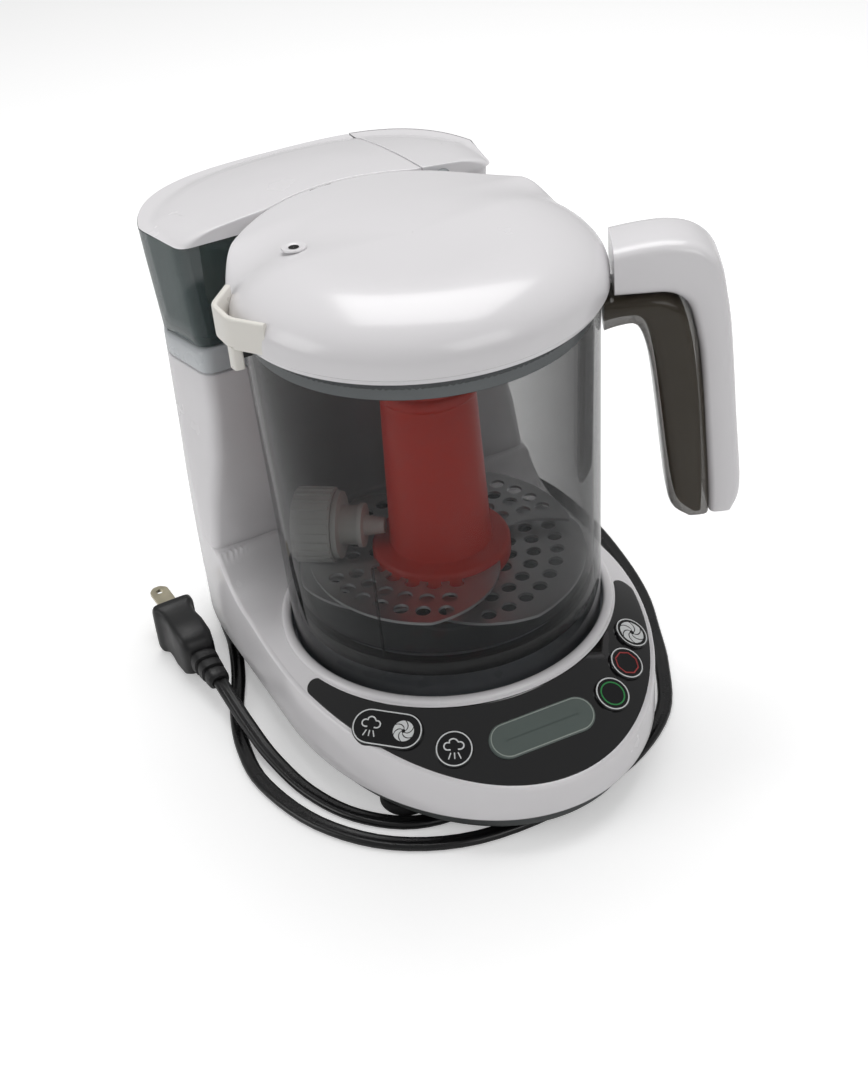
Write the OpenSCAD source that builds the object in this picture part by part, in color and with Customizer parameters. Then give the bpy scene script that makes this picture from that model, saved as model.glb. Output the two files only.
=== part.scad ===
// Baby food maker: a bowl that steams and blends, on a base with a water tank behind it.
// Every module is drawn about the bowl's upright axis; place() then centres the whole outline.

/* [Base] */
// Half of the width of the base and the tower
half_w = 72; // [71:1:76]
// Reach of the base in front of the bowl's axis
front_len = 98; // [95:1:106]
// Distance from the bowl's axis to the centre of the rear curve
side_len = 56; // [54:1:62]
// Depth of the rear curve behind that centre
rear_len = 74; // [72:1:84]
// Wall of the casings
wall = 2.4; // [2:0.1:3]
// Height of a rubber foot
foot_h = 4.5; // [4:0.5:6]
// Diameter of a rubber foot
foot_d = 21; // [16:1:22]
// Height of the bottom pan
pan_h = 8.5; // [8:0.5:12]
// How far the bottom pan stands in under the rim
pan_inset = 5; // [3:1:7]
// Top of the deck around the bowl, above the table
deck_z = 45; // [44:1:49]
// Slope of the control panel in degrees
panel_slope = 30; // [27:1:31]
// Thickness of the control panel
panel_t = 1.6; // [1.2:0.1:2]
// White rim that is left outside the control panel
rim_w = 3; // [2.5:0.5:4]

/* [Tower] */
// Front of the tower, behind the bowl's axis
tower_y = 60; // [58:1:62]
// How far the tower stands in from the outline of the base
tower_in = 2; // [1:0.5:4]
// How far the tank and the head above it stand in from the tower
tank_in = 4; // [2:0.5:5]
// Radius of the tower's front corners
corner_r = 8; // [5:1:10]
// Top of the tower casing
tower_z = 136; // [130:1:140]
// Height of the light band that carries the tank
shelf_h = 10; // [8:1:12]
// Height of the water tank above the band
tank_h = 39; // [34:1:44]
// Wall of the water tank
tank_wall = 2.2; // [1.8:0.1:3]
// Top of the white cap over the tank
cap_top = 196; // [194:1:200]
// Radius of the cap's flat dome
dome_r = 420; // [380:10:600]
// Place of the seam between the tank and the fixed head, right of the middle
seam_x = 34; // [30:1:38]

/* [Bowl] */
// Outer radius of the bowl at the top
bowl_top_r = 63; // [62:0.5:63.2]
// Outer radius of the bowl at the foot
bowl_foot_r = 60; // [59:0.5:61]
// Wall of the bowl
bowl_wall = 2.6; // [2:0.1:3]
// Lowest edge of the bowl, above the table
bowl_foot_z = 40; // [39:0.5:41]
// Upper face of the bowl's floor
floor_z = 61; // [60:0.5:62]
// Top edge of the bowl
bowl_rim_z = 182; // [180:1:183]
// Clearance around the bowl in its seat
seat_gap = 1; // [0.6:0.1:1.4]

/* [Handle] */
// Swing of the handle from the right-hand side towards the front, in degrees
handle_swing = 28; // [20:1:34]
// Reach of the handle from the bowl's axis
handle_reach = 112; // [108:1:118]
// Width of the handle
handle_w = 26; // [22:1:28]
// Lowest point of the handle
handle_low = 84; // [80:1:90]

/* [Lid] */
// Outer radius of the lid
lid_r = 66; // [65.8:0.1:66.4]
// Lower edge of the lid's rim
lid_z = 176; // [174:1:177]
// Top of the lid
lid_top = 199; // [197:1:202]
// Gap between the lid and the tower behind it
lid_gap = 1.6; // [1.4:0.1:2]
// How far the tab stands out from the lid
tab_reach = 12; // [10:1:14]
// Width of the tab
tab_w = 26; // [22:1:30]

/* [Blade] */
// Diameter of the red hub's cone at its foot
hub_d = 39; // [36:1:41]
// Diameter of the hub's neck
neck_d = 34; // [32:1:35]
// Diameter of the hub's flange
flange_d = 53; // [50:1:56]
// Top of the hub
hub_top = 160; // [150:1:164]
// Reach of the lower blade from its axis
blade_r = 55; // [52:0.5:56]
// Thickness of the blade plates
blade_t = 1.2; // [1:0.1:1.5]
// Diameter of the holes in the blades
hole_d = 5.8; // [5:0.1:6.2]
// Diameter of the blade's shaft
shaft_d = 8; // [7:0.5:9]

/* [Pouch adapter] */
// Diameter of the ribbed cap
pouch_d = 29; // [26:1:29]
// Length of the ribbed cap
pouch_len = 15; // [13:1:16]

/* [Buttons] */
// Diameter of a round button
button_d = 14; // [13:0.2:14.4]
// Length of the long button on the left
long_button = 27; // [25:1:28]
// Travel of a button
button_travel = 0.8; // [0.6:0.1:1]
// Length of the display's window
window_l = 42; // [38:1:44]
// Width of the display's window
window_w = 14; // [13:1:15]

/* [Power cord] */
// Width of the flat cord
cord_w = 6; // [6:0.1:6.4]
// Thickness of the flat cord
cord_t = 3.2; // [3:0.1:3.4]

/* [Hidden] */
$fn = 72;
eps = 0.01;
fit = 0.3;                                   // clearance between parts that move or lift apart
outline_step = 5;                            // degrees between the points of the plan outline
rear_full = 2.6;                             // fullness of the rear curve; 2 is an ellipse
pan_z = foot_h;
rim_z = foot_h + pan_h;                      // lower edge of the white base
ledge_t = 1;                                 // ledge of the pan that the white base stands on
ring_w = 4;                                  // width of the trim ring
well_r = bowl_foot_r + seat_gap;             // inside of the seat
ring_r = well_r + ring_w;
well_floor = bowl_foot_z - fit;              // the bowl stands on it
screw_d = 3.8;
post_d = 9;                                  // screw posts in the base and the pan
panel_in_r = ring_r + 0.5;
tan_slope = tan(panel_slope);
band_z = tower_z + shelf_h;                  // top of the light band, foot of the tank
tank_z = band_z + tank_h;                    // top of the tank, lower edge of the cap
scoop_r = lid_r + lid_gap;                   // the tower's hollow front follows the lid
dome_y = 50;                                 // middle of the cap's dome
motor_y = side_len + 42;
motor_r = 23;
belt_z = 19;                                 // lower face of the belt
belt_h = 8;
pulley_r = 24;
pinion_r = 9;
steam_dir = 55;                              // direction of the steam path, from the right
nozzle_in = scoop_r - lid_gap + fit;         // where the nozzle begins, near the lid
nozzle_out = tower_y / sin(steam_dir) + 2 * wall;
steam_down = nozzle_out + 11;                // where the steam tube turns down to the boiler
boiler_r = 14;
sweep_r = 26;                                // the deck sweeps up to the tower on this radius
sweep_y = tower_y - sweep_r + 2;
sweep_z = deck_z + 14;
nozzle_z = 189;                              // height of the steam path into the lid
tank_valve_x = -30;
tank_valve_y = side_len + 34;
tip_x = handle_reach * cos(handle_swing) + handle_w / 2 * sin(handle_swing);
left_x = max(lid_r + tab_reach, half_w);
axis_x = (left_x - tip_x) / 2;               // bowl's axis in the part's own frame
axis_y = (front_len - side_len - rear_len) / 2;

// The cord's middle line from the gland to the plug, about the bowl's axis
cord_path = [
    [0, 142, 9.4], [0, 151, 8.8], [12, 166, 5], [38, 174, 1.8], [70, 164, 1.8],
    [92, 141, 1.8], [105, 108, 1.8], [107, 72, 1.8], [103, 38, 1.8], [96, 8, 1.8],
    [86, -16, 1.8], [76, -37, 1.8], [60, -61, 1.8], [34, -77, 1.8], [2, -84, 1.8],
    [-34, -82, 1.8], [-62, -68, 1.8], [-81, -44, 1.8], [-90, -14, 1.8], [-89, 10, 1.8],
    [-83, 32, 1.8], [-74, 53, 1.8], [-67, 75, 1.8], [-62, 98, 1.8], [-46, 120, 1.8],
    [-18, 133, 1.8], [14, 136, 1.8], [45, 128, 1.8], [70, 105, 1.8], [81, 73, 1.8],
    [84, 38, 1.8], [80, 6, 1.8], [66, -20, 1.8], [42, -31, 1.8], [18, -40, 1.8],
    [-6, -56, 1.8], [-28, -66, 1.8], [-50, -63, 1.8], [-67, -48, 1.8], [-77, -27, 1.9],
    [-82, -4, 3.8], [-84, 16, 7.4], [-85, 34, 11.4], [-85, 41, 11.8]];
gland_x = 0;
gland_z = 9.4;
gland_w = 9.8;                               // width of the flat strain relief
gland_h = 4.8;                               // its height
pan_rear = side_len + rear_len - pan_inset;  // rear face of the bottom pan
plug_tail = [-85, 41, 11.8];
plug_dir = 92;                               // way that the plug points on the table

// Moves the drawing from the bowl's axis to the part's own frame
module place() {
    translate([axis_x, axis_y, 0]) children();
}

// Plan outline of the base, drawn in by i
function outline(i) = concat(
    [for (a = [180 : outline_step : 360]) [(half_w - i) * cos(a), (front_len - i) * sin(a)]],
    [for (a = [0 : outline_step : 180])
        [(half_w - i) * sign(cos(a)) * pow(abs(cos(a)), 2 / rear_full),
            side_len + (rear_len - i) * pow(abs(sin(a)), 2 / rear_full)]]);

// Height of the sloping deck at a distance r from the bowl's axis
function slope_z(r) = deck_z - (r - ring_r) * tan_slope;

// Plan of the tower, drawn in by i
module tower_plan(i, narrow = 0) {
    corner_x = half_w - tower_in - narrow - corner_r;
    difference() {
        intersection() {
            polygon(outline(tower_in + narrow + i));
            translate([-2 * half_w, tower_y + i]) square([4 * half_w, 4 * rear_len]);
        }
        circle(r = scoop_r + i, $fn = 120);
        for (s = [-1, 1]) difference() {
            translate([s * (corner_x + half_w / 2), tower_y + corner_r / 2])
                square([half_w, corner_r], center = true);
            translate([s * corner_x, tower_y + corner_r]) circle(r = corner_r - i, $fn = 48);
        }
    }
}

// Plan of the tank and of the head beside it
module top_plan(i) {
    tower_plan(i, tank_in);
}

// The part of the tower's plan left (side = -1) or right (side = 1) of the seam
module seam_side(side, gap) {
    translate([side < 0 ? seam_x - gap - 4 * half_w : seam_x + gap, -10])
        square([4 * half_w, 6 * rear_len]);
}

// Everything below the cap's dome, lowered by dz
module under_dome(dz) {
    translate([0, dome_y, cap_top - dome_r - dz]) sphere(r = dome_r, $fn = 200);
}

// Solid under the deck and its slope, lowered by dz
module under_deck(dz) {
    far = front_len + 10;
    rotate_extrude($fn = 180) polygon([[0, 0], [far, 0], [far, slope_z(far) - dz],
        [ring_r, deck_z - dz], [0, deck_z - dz]]);
    last = acos((sweep_z - deck_z + dz) / (sweep_r + dz));
    rotate([90, 0, 90]) translate([0, 0, -2 * half_w]) linear_extrude(4 * half_w) polygon(concat(
        [[sweep_y, 0]], [for (t = [0 : 6]) [sweep_y + (sweep_r + dz) * sin(last * t / 6),
            sweep_z - (sweep_r + dz) * cos(last * t / 6)]],
        [[4 * rear_len, deck_z - dz], [4 * rear_len, 0]]));
}

// Conical layer that follows the panel's slope, top lowered by dz, t thick
module slope_layer(dz, t) {
    far = front_len + 10;
    rotate_extrude($fn = 180) polygon([[panel_in_r, slope_z(panel_in_r) - dz - t],
        [far, slope_z(far) - dz - t], [far, slope_z(far) - dz], [panel_in_r, slope_z(panel_in_r) - dz]]);
}

// Plan of the crescent panel, drawn in by i
module crescent(i) {
    difference() {
        intersection() {
            polygon(outline(rim_w + i));
            translate([-2 * half_w, -2 * front_len + 8 - i]) square([4 * half_w, 2 * front_len]);
        }
        circle(r = panel_in_r + i, $fn = 120);
    }
}

// Frame on the panel's face, at a direction and distance from the bowl's axis
module on_panel(dir, r) {
    translate([r * cos(dir), r * sin(dir), slope_z(r)]) rotate([0, 0, dir])
        rotate([0, panel_slope, 0]) children();
}

// Capsule l long and w wide, extruded by h, long side along Y
module capsule(l, w, h) {
    linear_extrude(h) {
        square([w, l - w], center = true);
        for (s = [-1, 1]) translate([0, s * (l - w) / 2]) circle(d = w, $fn = 48);
    }
}

// Straight rods joined by balls
module pipe(points, d) {
    for (i = [0 : len(points) - 2]) {
        v = points[i + 1] - points[i];
        translate(points[i]) rotate([0, acos(v[2] / norm(v)), atan2(v[1], v[0])])
            cylinder(d = d, h = norm(v), $fn = 32);
    }
    for (i = [1 : 1 : len(points) - 2]) translate(points[i]) sphere(d = d, $fn = 32);
}

bearing_r = 11;
board_x = -half_w + 13;                      // plane of the power board in the tower
nozzle_d = 6;
motor_shaft_d = 5;
boiler_z = deck_z + 5;
boiler_top = tower_z - 28;
boiler_x = 43;
boiler_y = tower_y + 20;
valve_d = 11;
lip_t = 1.6;                                 // lip of the tank lid inside the tank
floor_t = 2.5;
collar_h = 6;
bush_r = 7;
hub_bore_top = hub_top - 40;
lower_z = floor_z + 4;
upper_z = lower_z + blade_t + 4.4;
wing_mid = [14, -14];
wing_r = 40;
wing_cut = [-36, -24];
wing_cut_r = 22;
upper_r = blade_r - 4;
upper_mid = [20, 8];
upper_wing_r = 36;
upper_cut = [22, -40];
upper_cut_r = 36.5;
liner_r = bowl_top_r - bowl_wall - 0.4;
liner_low = lid_z - 8;
lid_round = 30;                              // width of the rounded edge of the lid
lid_rear_y = 44;                             // behind this line the lid keeps its full height
pouch_end = [-46, 29.2, lower_z + blade_t + fit + pouch_d / 2];
pouch_turn = -36;

// Places of the four feet
foot_x = half_w - 26;
foot_front = -front_len * 0.49;
foot_rear = side_len + rear_len * 0.5;
foot_places = [[-foot_x, foot_front], [foot_x, foot_front], [-foot_x + 4, foot_rear],
    [foot_x - 4, foot_rear]];

// Button places: direction and distance on the panel
long_dir = -135;
button_skirt = 2.4;                          // depth of a button's cap below the panel's face
button_face = 0.5;                           // height of a button's cap above it
button_places = [[-116.5, 79.5], [-70, 80.5], [-58.6, 77], [-47, 73.5]];
long_r = 73.8;
window_dir = -92.5;
window_r = 78.5;

module panel_holes(gap) {
    on_panel(long_dir, long_r) translate([0, 0, -20])
        capsule(long_button + 2 * gap, button_d + 2 * gap, 40);
    for (p = button_places) on_panel(p[0], p[1]) translate([0, 0, -20])
        cylinder(d = button_d + 2 * gap, h = 40);
    on_panel(window_dir, window_r) translate([0, 0, -20])
        capsule(window_l + 2 * gap, window_w + 2 * gap, 40);
}

module base_skin() {
    difference() {
        intersection() {
            translate([0, 0, rim_z]) linear_extrude(deck_z) polygon(outline(0));
            under_deck(0);
        }
        intersection() {
            translate([0, 0, rim_z - 1]) linear_extrude(deck_z) polygon(outline(wall));
            under_deck(wall + panel_t);
        }
        intersection() {
            translate([0, 0, rim_z]) linear_extrude(deck_z) crescent(-0.15);
            slope_layer(panel_t, -10);
        }
        panel_holes(1.2);
        translate([0, motor_y, rim_z]) cylinder(r = motor_r - 6, h = deck_z);
    }
}

module base_shell() {
    color("#e9e7e8") difference() {
        union() {
            base_skin();
            intersection() {
                for (p = foot_places) translate([p[0], p[1], rim_z]) difference() {
                    cylinder(d = post_d, h = deck_z);
                    translate([0, 0, -1]) cylinder(d = screw_d, h = 14);
                }
                under_deck(wall + panel_t - eps);
            }
        }
        translate([0, 0, well_floor - wall - fit])
            cylinder(r = well_r + wall + fit, h = 30, $fn = 120);
        switches(fit);
        for (p = concat([[long_dir, long_r]], button_places)) on_panel(p[0], p[1])
            translate([0, 0, -board_n]) cylinder(d = 5 + 4 * fit, h = board_n);
    }
}

module bottom_pan() {
    color("#4b4e4e") {
        difference() {
            translate([0, 0, pan_z]) linear_extrude(pan_h) polygon(outline(pan_inset));
            translate([0, 0, pan_z + wall]) linear_extrude(pan_h) polygon(outline(pan_inset + wall));
            for (p = foot_places) translate([p[0], p[1], pan_z - 1]) cylinder(d = 4.4, h = 6);
            gland_bar(pan_rear - wall - 2, gland_w - 1.4, gland_h - 1.4, wall + 4);
        }
        for (p = foot_places) translate([p[0], p[1], pan_z + wall - eps]) difference() {
            cylinder(d = post_d, h = pan_h - wall);
            translate([0, 0, -1]) cylinder(d = 4.4, h = pan_h + 2);
        }
        difference() {
            translate([0, 0, rim_z - ledge_t]) linear_extrude(ledge_t) polygon(outline(wall + fit));
            translate([0, 0, rim_z - 3]) linear_extrude(6) polygon(outline(pan_inset + 4));
        }
    }
}

module feet() {
    color("#1b1b1c") for (p = foot_places) translate([p[0], p[1], 0]) difference() {
        cylinder(d = foot_d, h = foot_h);
        translate([0, 0, -1]) cylinder(d = 8.4, h = foot_h);
        translate([0, 0, -1]) cylinder(d = 4.4, h = foot_h + 2);
    }
}

module base_screws() {
    color("#b5b7b9") for (p = foot_places) translate([p[0], p[1], foot_h - 1]) {
        translate([0, 0, -2]) cylinder(d = 7, h = 2);
        cylinder(d = screw_d, h = pan_h + 5);
    }
}

module seat_well() {
    color("#c9cbd0") difference() {
        rotate_extrude($fn = 120) polygon([[bearing_r, well_floor - 10],
            [bearing_r + wall, well_floor - 10], [bearing_r + wall, well_floor - wall],
            [well_r + wall, well_floor - wall], [well_r + wall, deck_z], [well_r, deck_z],
            [well_r, well_floor], [bearing_r, well_floor]]);
        rotate([0, 0, 200]) translate([52 - fit, -6, well_floor - 8])
            cube([6 + 2 * fit, 12, 20]);
    }
}

module trim_ring() {
    color("#d9dae0") rotate_extrude($fn = 160) polygon([[well_r, deck_z], [ring_r, deck_z],
        [ring_r, deck_z + 0.8], [ring_r - 1, deck_z + 1.8], [well_r + 0.8, deck_z + 1.8],
        [well_r, deck_z + 1]]);
}

module control_panel() {
    color("#0c0c0e") difference() {
        intersection() {
            translate([0, 0, rim_z]) linear_extrude(deck_z) crescent(0);
            slope_layer(0, panel_t);
        }
        panel_holes(fit);
    }
}

module display_window() {
    color("#7d8585") intersection() {
        on_panel(window_dir, window_r) translate([0, 0, -8]) capsule(window_l, window_w, 12);
        slope_layer(0.1, 2.2);
    }
}

module lcd_module() {
    color("#9aa39a") on_panel(window_dir, window_r) translate([-window_w / 2 + 1, -window_l / 2 + 4, -7.3])
        cube([window_w - 2, window_l - 8, 4]);
}

board_dz = 8.6;                              // how far the button board lies under the panel
board_n = board_dz * cos(panel_slope);
switch_h = 2.6;

// Switches on the board, one under each button, grown by g
module switches(g) {
    for (p = concat([[long_dir, long_r]], button_places)) on_panel(p[0], p[1])
        translate([-3 - g, -3 - g, -board_n - 0.6 - g])
            cube([6 + 2 * g, 6 + 2 * g, switch_h + 0.6 + 4 * g]);
}

module panel_board() {
    color("#1e5b34") {
        difference() {
            intersection() {
                translate([0, 0, 6]) linear_extrude(deck_z) crescent(9);
                slope_layer(board_dz, 1.6);
            }
            translate([-2 * half_w, -15, 0]) cube([4 * half_w, 80, 80]);
            for (p = foot_places) translate([p[0], p[1], 0]) cylinder(d = post_d + 2, h = deck_z);
        }
        switches(0);
    }
}

// A round button: cap in the panel, stem down to its switch
module round_button(dir, r) {
    on_panel(dir, r) {
        translate([0, 0, -button_skirt]) cylinder(d = button_d, h = button_skirt + button_face);
        translate([0, 0, -board_n + switch_h + button_travel + 0.1])
            cylinder(d = 5, h = board_n - switch_h - button_travel - 2);
    }
}

module steam_blend_button() {
    color("#131315") on_panel(long_dir, long_r) {
        translate([0, 0, -button_skirt]) capsule(long_button, button_d, button_skirt + button_face);
        translate([0, 0, -board_n + switch_h + button_travel + 0.1])
            cylinder(d = 5, h = board_n - switch_h - button_travel - 2);
    }
}

module steam_button() {
    color("#131315") round_button(button_places[0][0], button_places[0][1]);
}

module start_button() {
    color("#12301d") round_button(button_places[1][0], button_places[1][1]);
}

module stop_button() {
    color("#3a1215") round_button(button_places[2][0], button_places[2][1]);
}

module blend_button() {
    color("#131315") round_button(button_places[3][0], button_places[3][1]);
}

module tower_shell() {
    color("#e9e7e8") difference() {
        translate([0, 0, deck_z]) linear_extrude(tower_z - deck_z) tower_plan(0);
        translate([0, 0, deck_z - 1]) linear_extrude(tower_z) tower_plan(wall);
    }
}

module tank_shelf() {
    color("#c5c9cc") difference() {
        union() {
            translate([0, 0, tower_z]) linear_extrude(shelf_h) tower_plan(0);
            translate([0, 0, tower_z - 4]) linear_extrude(4 + eps) difference() {
                tower_plan(wall + fit);
                tower_plan(2 * wall + fit);
            }
        }
        translate([0, 0, tower_z + 3]) linear_extrude(shelf_h) top_plan(wall);
        translate([tank_valve_x, tank_valve_y, tower_z - 1]) cylinder(d = 9, h = 8);
        rotate([0, 0, steam_dir]) translate([steam_down, 0, tower_z - 1]) cylinder(d = 7, h = 8);
    }
}

module tower_head() {
    color("#e9e7e8") difference() {
        translate([0, 0, band_z]) linear_extrude(tank_h) intersection() {
            top_plan(0);
            seam_side(1, 0);
        }
        translate([0, 0, band_z - 1]) linear_extrude(tank_h + 2) intersection() {
            top_plan(wall);
            seam_side(1, wall);
        }
    }
}

module tower_cap() {
    color("#eceaea") difference() {
        intersection() {
            translate([0, 0, tank_z]) linear_extrude(cap_top - tank_z + 1) intersection() {
                top_plan(0);
                seam_side(1, 0);
            }
            under_dome(0);
        }
        intersection() {
            translate([0, 0, tank_z - 1]) linear_extrude(cap_top - tank_z) intersection() {
                top_plan(wall);
                seam_side(1, wall);
            }
            under_dome(wall);
        }
        rotate([0, 0, steam_dir]) translate([scoop_r, 0, nozzle_z]) rotate([0, 90, 0])
            cylinder(d = nozzle_d, h = 16);
    }
}

module steam_nozzle() {
    color("#8f9496") rotate([0, 0, steam_dir]) translate([0, 0, nozzle_z]) rotate([0, 90, 0])
        difference() {
            union() {
                translate([0, 0, nozzle_in]) cylinder(d = nozzle_d + 2.4, h = 2);
                translate([0, 0, nozzle_in]) cylinder(d = nozzle_d, h = nozzle_out - nozzle_in);
            }
            translate([0, 0, nozzle_in - 1]) cylinder(d = 3, h = nozzle_out);
        }
}

// Way of the steam from the boiler up to the nozzle, lengthened by e at both ends
module steam_path(e, d) {
    way = [cos(steam_dir), sin(steam_dir), 0];
    start = (nozzle_out + 3 * fit) * way + [0, 0, nozzle_z];
    bend = steam_down * way;
    pipe([start - e * way, bend + [0, 0, nozzle_z - 4], bend + [0, 0, boiler_top - e]], d);
}

module steam_tube() {
    color("#d8d4c8") difference() {
        steam_path(0, 4.4);
        steam_path(1, 2.6);
    }
}

module boiler() {
    color("#a9acae") translate([boiler_x, boiler_y, 0]) {
        translate([0, 0, boiler_z]) cylinder(r = boiler_r, h = boiler_top - boiler_z);
        translate([-6, boiler_r - 3, boiler_z + 14]) cube([12, 6, 30]);
    }
}

module boiler_bracket() {
    color("#9b9ea0") translate([boiler_x, boiler_y, deck_z]) difference() {
        cylinder(r = boiler_r + 1.6, h = boiler_z + 6 - deck_z);
        translate([0, 0, boiler_z - deck_z]) cylinder(r = boiler_r, h = 20);
        translate([0, 0, -1]) cylinder(r = boiler_r - 3, h = 20);
        translate([-30, -6, 2]) cube([60, 12, 40]);
    }
}

module water_tube() {
    color("#cfd6d4") pipe([[tank_valve_x, tank_valve_y, tower_z + 2.5],
        [tank_valve_x, tank_valve_y, tower_z - 12],
        [boiler_x - 7, boiler_y + 5, tower_z - 12],
        [boiler_x - 7, boiler_y + 5, boiler_top]], 6);
}

module motor() {
    color("#8c9092") translate([0, motor_y, 0]) difference() {
        union() {
            translate([0, 0, deck_z + 3]) cylinder(r = motor_r, h = 58);
            translate([0, 0, deck_z - 1]) cylinder(r = 7, h = 5);
            translate([0, 0, deck_z + 61 - eps]) cylinder(r = 8, h = 5);
        }
        translate([0, 0, deck_z - 2]) cylinder(d = motor_shaft_d + 0.1, h = 16);
    }
}

module motor_mount() {
    color("#6e7274") translate([0, motor_y, deck_z]) difference() {
        cylinder(r = motor_r + 1.5, h = 3);
        translate([0, 0, -1]) cylinder(r = 7, h = 5);
    }
}

module motor_pulley() {
    color("#3b3d40") translate([0, motor_y, 0]) {
        translate([0, 0, belt_z - 1]) cylinder(r = pinion_r, h = belt_h + 2);
        translate([0, 0, belt_z - 2]) cylinder(r = pinion_r + 1.8, h = 1.4);
        translate([0, 0, belt_z + belt_h + 0.6]) cylinder(r = pinion_r + 1.8, h = 1.4);
        translate([0, 0, belt_z]) cylinder(d = motor_shaft_d, h = deck_z + 12 - belt_z);
    }
}

module drive_belt() {
    color("#1d1d1e") translate([0, 0, belt_z]) linear_extrude(belt_h) difference() {
        belt_plan(fit + 1.6);
        belt_plan(fit);
    }
}

// Outline of the belt round both pulleys, grown by g
module belt_plan(g) {
    hull() {
        circle(r = pulley_r + g, $fn = 72);
        translate([0, motor_y]) circle(r = pinion_r + g, $fn = 48);
    }
}

module drive_pulley() {
    color("#3b3d40") difference() {
        union() {
            translate([0, 0, belt_z - 1]) cylinder(r = pulley_r, h = belt_h + 2);
            translate([0, 0, belt_z - 2]) cylinder(r = pulley_r - 3, h = 1.4);
        }
        cylinder(d = shaft_d, h = 60);
    }
}

module drive_coupler() {
    color("#55585a") {
        translate([0, 0, belt_z - 3]) cylinder(d = shaft_d, h = well_floor + 2 - belt_z + 3);
        translate([0, 0, well_floor + 1]) cylinder(r = 9, h = 4);
        translate([-6, -6, well_floor + 5 - eps]) cube([12, 12, 10]);
    }
}

module bearing() {
    color("#b9a26a") translate([0, 0, well_floor - 10]) difference() {
        cylinder(r = bearing_r, h = 10);
        translate([0, 0, -1]) cylinder(d = shaft_d + 0.1, h = 12);
    }
}

module power_board() {
    color("#1e5b34") {
        translate([board_x, tower_y + wall + 4, deck_z]) cube([1.6, 20, 74]);
        translate([board_x + 1, tower_y + wall + 7, deck_z + 12]) cube([14, 12, 16]);
        translate([board_x + 1, tower_y + wall + 8, deck_z + 40]) cube([10, 10, 20]);
        translate([board_x - 3, tower_y + wall + 5, deck_z]) cube([6, 16, 6]);
    }
}

module seat_switch() {
    color("#2b2c2e") rotate([0, 0, 200]) {
        translate([52, -6 + fit, well_floor - 9]) cube([6, 12 - 2 * fit, 8.4]);
    }
}

// Flat bar along +Y from the distance y, w wide and h high, for the gland
module gland_bar(y, w, h, length) {
    translate([gland_x, y, gland_z]) rotate([-90, 0, 0]) linear_extrude(length) {
        square([w - h, h], center = true);
        for (s = [-1, 1]) translate([s * (w - h) / 2, 0]) circle(d = h, $fn = 32);
    }
}

module cord_gland() {
    color("#161617") {
        gland_bar(pan_rear - wall - 3, gland_w, gland_h, 2.7);
        gland_bar(pan_rear - wall - 1, gland_w - 1.4, gland_h - 1.4, wall + 2);
        for (i = [0 : 3]) gland_bar(pan_rear + 0.6 + i * 4, gland_w - 0.3 * i, gland_h - 0.2 * i, 2.6);
        gland_bar(pan_rear + 0.5, gland_w - 2, gland_h - 1.2, cord_path[0][1] - pan_rear - 0.5);
    }
}

// Point on the smooth curve through the cord's points, t from 0 to 1 between points i and i + 1
function path_at(i, t) =
    let (n = len(cord_path), a = cord_path[max(i - 1, 0)], b = cord_path[i],
        c = cord_path[min(i + 1, n - 1)], d = cord_path[min(i + 2, n - 1)])
    0.5 * (2 * b + (c - a) * t + (2 * a - 5 * b + 4 * c - d) * t * t
        + (3 * b - a - 3 * c + d) * t * t * t);

module power_cord() {
    rings = [for (i = [0 : len(cord_path) - 2]) each [path_at(i, 0), path_at(i, 0.5)],
        cord_path[len(cord_path) - 1]];
    n = len(rings);
    sides = 8;
    points = [for (k = [0 : n - 1])
        let (ahead = k == 0 ? [0, 1, 0] : k == n - 1 ? [cos(plug_dir), sin(plug_dir), 0]
                : rings[k + 1] - rings[k - 1],
            f = ahead / norm(ahead), s = cross(f, [0, 0, 1]), side = s / norm(s),
            up = cross(side, f))
        for (j = [0 : sides - 1])
            rings[k] + side * cord_w / 2 * cos(360 * j / sides + 22.5)
                + up * cord_t / 2 * sin(360 * j / sides + 22.5)];
    walls = [for (k = [0 : n - 2], j = [0 : sides - 1])
        [k * sides + j, k * sides + (j + 1) % sides, (k + 1) * sides + (j + 1) % sides,
            (k + 1) * sides + j]];
    color("#141415") polyhedron(points = points, faces = concat(walls,
        [[for (j = [sides - 1 : -1 : 0]) j]], [[for (j = [0 : sides - 1]) (n - 1) * sides + j]]));
}

module plug_body() {
    color("#141415") translate(plug_tail) rotate([0, 0, plug_dir]) {
        rotate([0, 90, 0]) cylinder(d1 = 7.4, d2 = 11, h = 20.4, $fn = 32);
        translate([20, -7.5, -11]) cube([26, 15, 22]);
        translate([46 - eps, -9, -11.6]) cube([4, 18, 23.2]);
    }
}

module plug_blades() {
    color("#c9b98a") translate(plug_tail) rotate([0, 0, plug_dir]) {
        translate([50, -7.94 / 2, 6.35 - 0.75]) cube([18, 7.94, 1.5]);
        translate([50, -6.35 / 2, -6.35 - 0.75]) cube([18, 6.35, 1.5]);
    }
}

module tank_shell() {
    color("#5f7370") difference() {
        union() {
            difference() {
                translate([0, 0, band_z + fit]) linear_extrude(tank_h - fit) intersection() {
                    top_plan(0);
                    seam_side(-1, 0.5);
                }
                translate([0, 0, band_z + fit + tank_wall]) linear_extrude(tank_h) intersection() {
                    top_plan(tank_wall);
                    seam_side(-1, 0.5 + tank_wall);
                }
            }
            translate([0, 0, tower_z + 3 + fit]) linear_extrude(shelf_h - 3) intersection() {
                top_plan(wall + 0.6);
                seam_side(-1, wall + 1);
            }
        }
        translate([tank_valve_x, tank_valve_y, band_z - 12]) cylinder(d = valve_d, h = 30);
    }
}

// The tank's side of the tower's plan, drawn in by i all round
module tank_plan(i, gap) {
    intersection() {
        top_plan(i);
        seam_side(-1, gap + i);
    }
}

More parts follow.
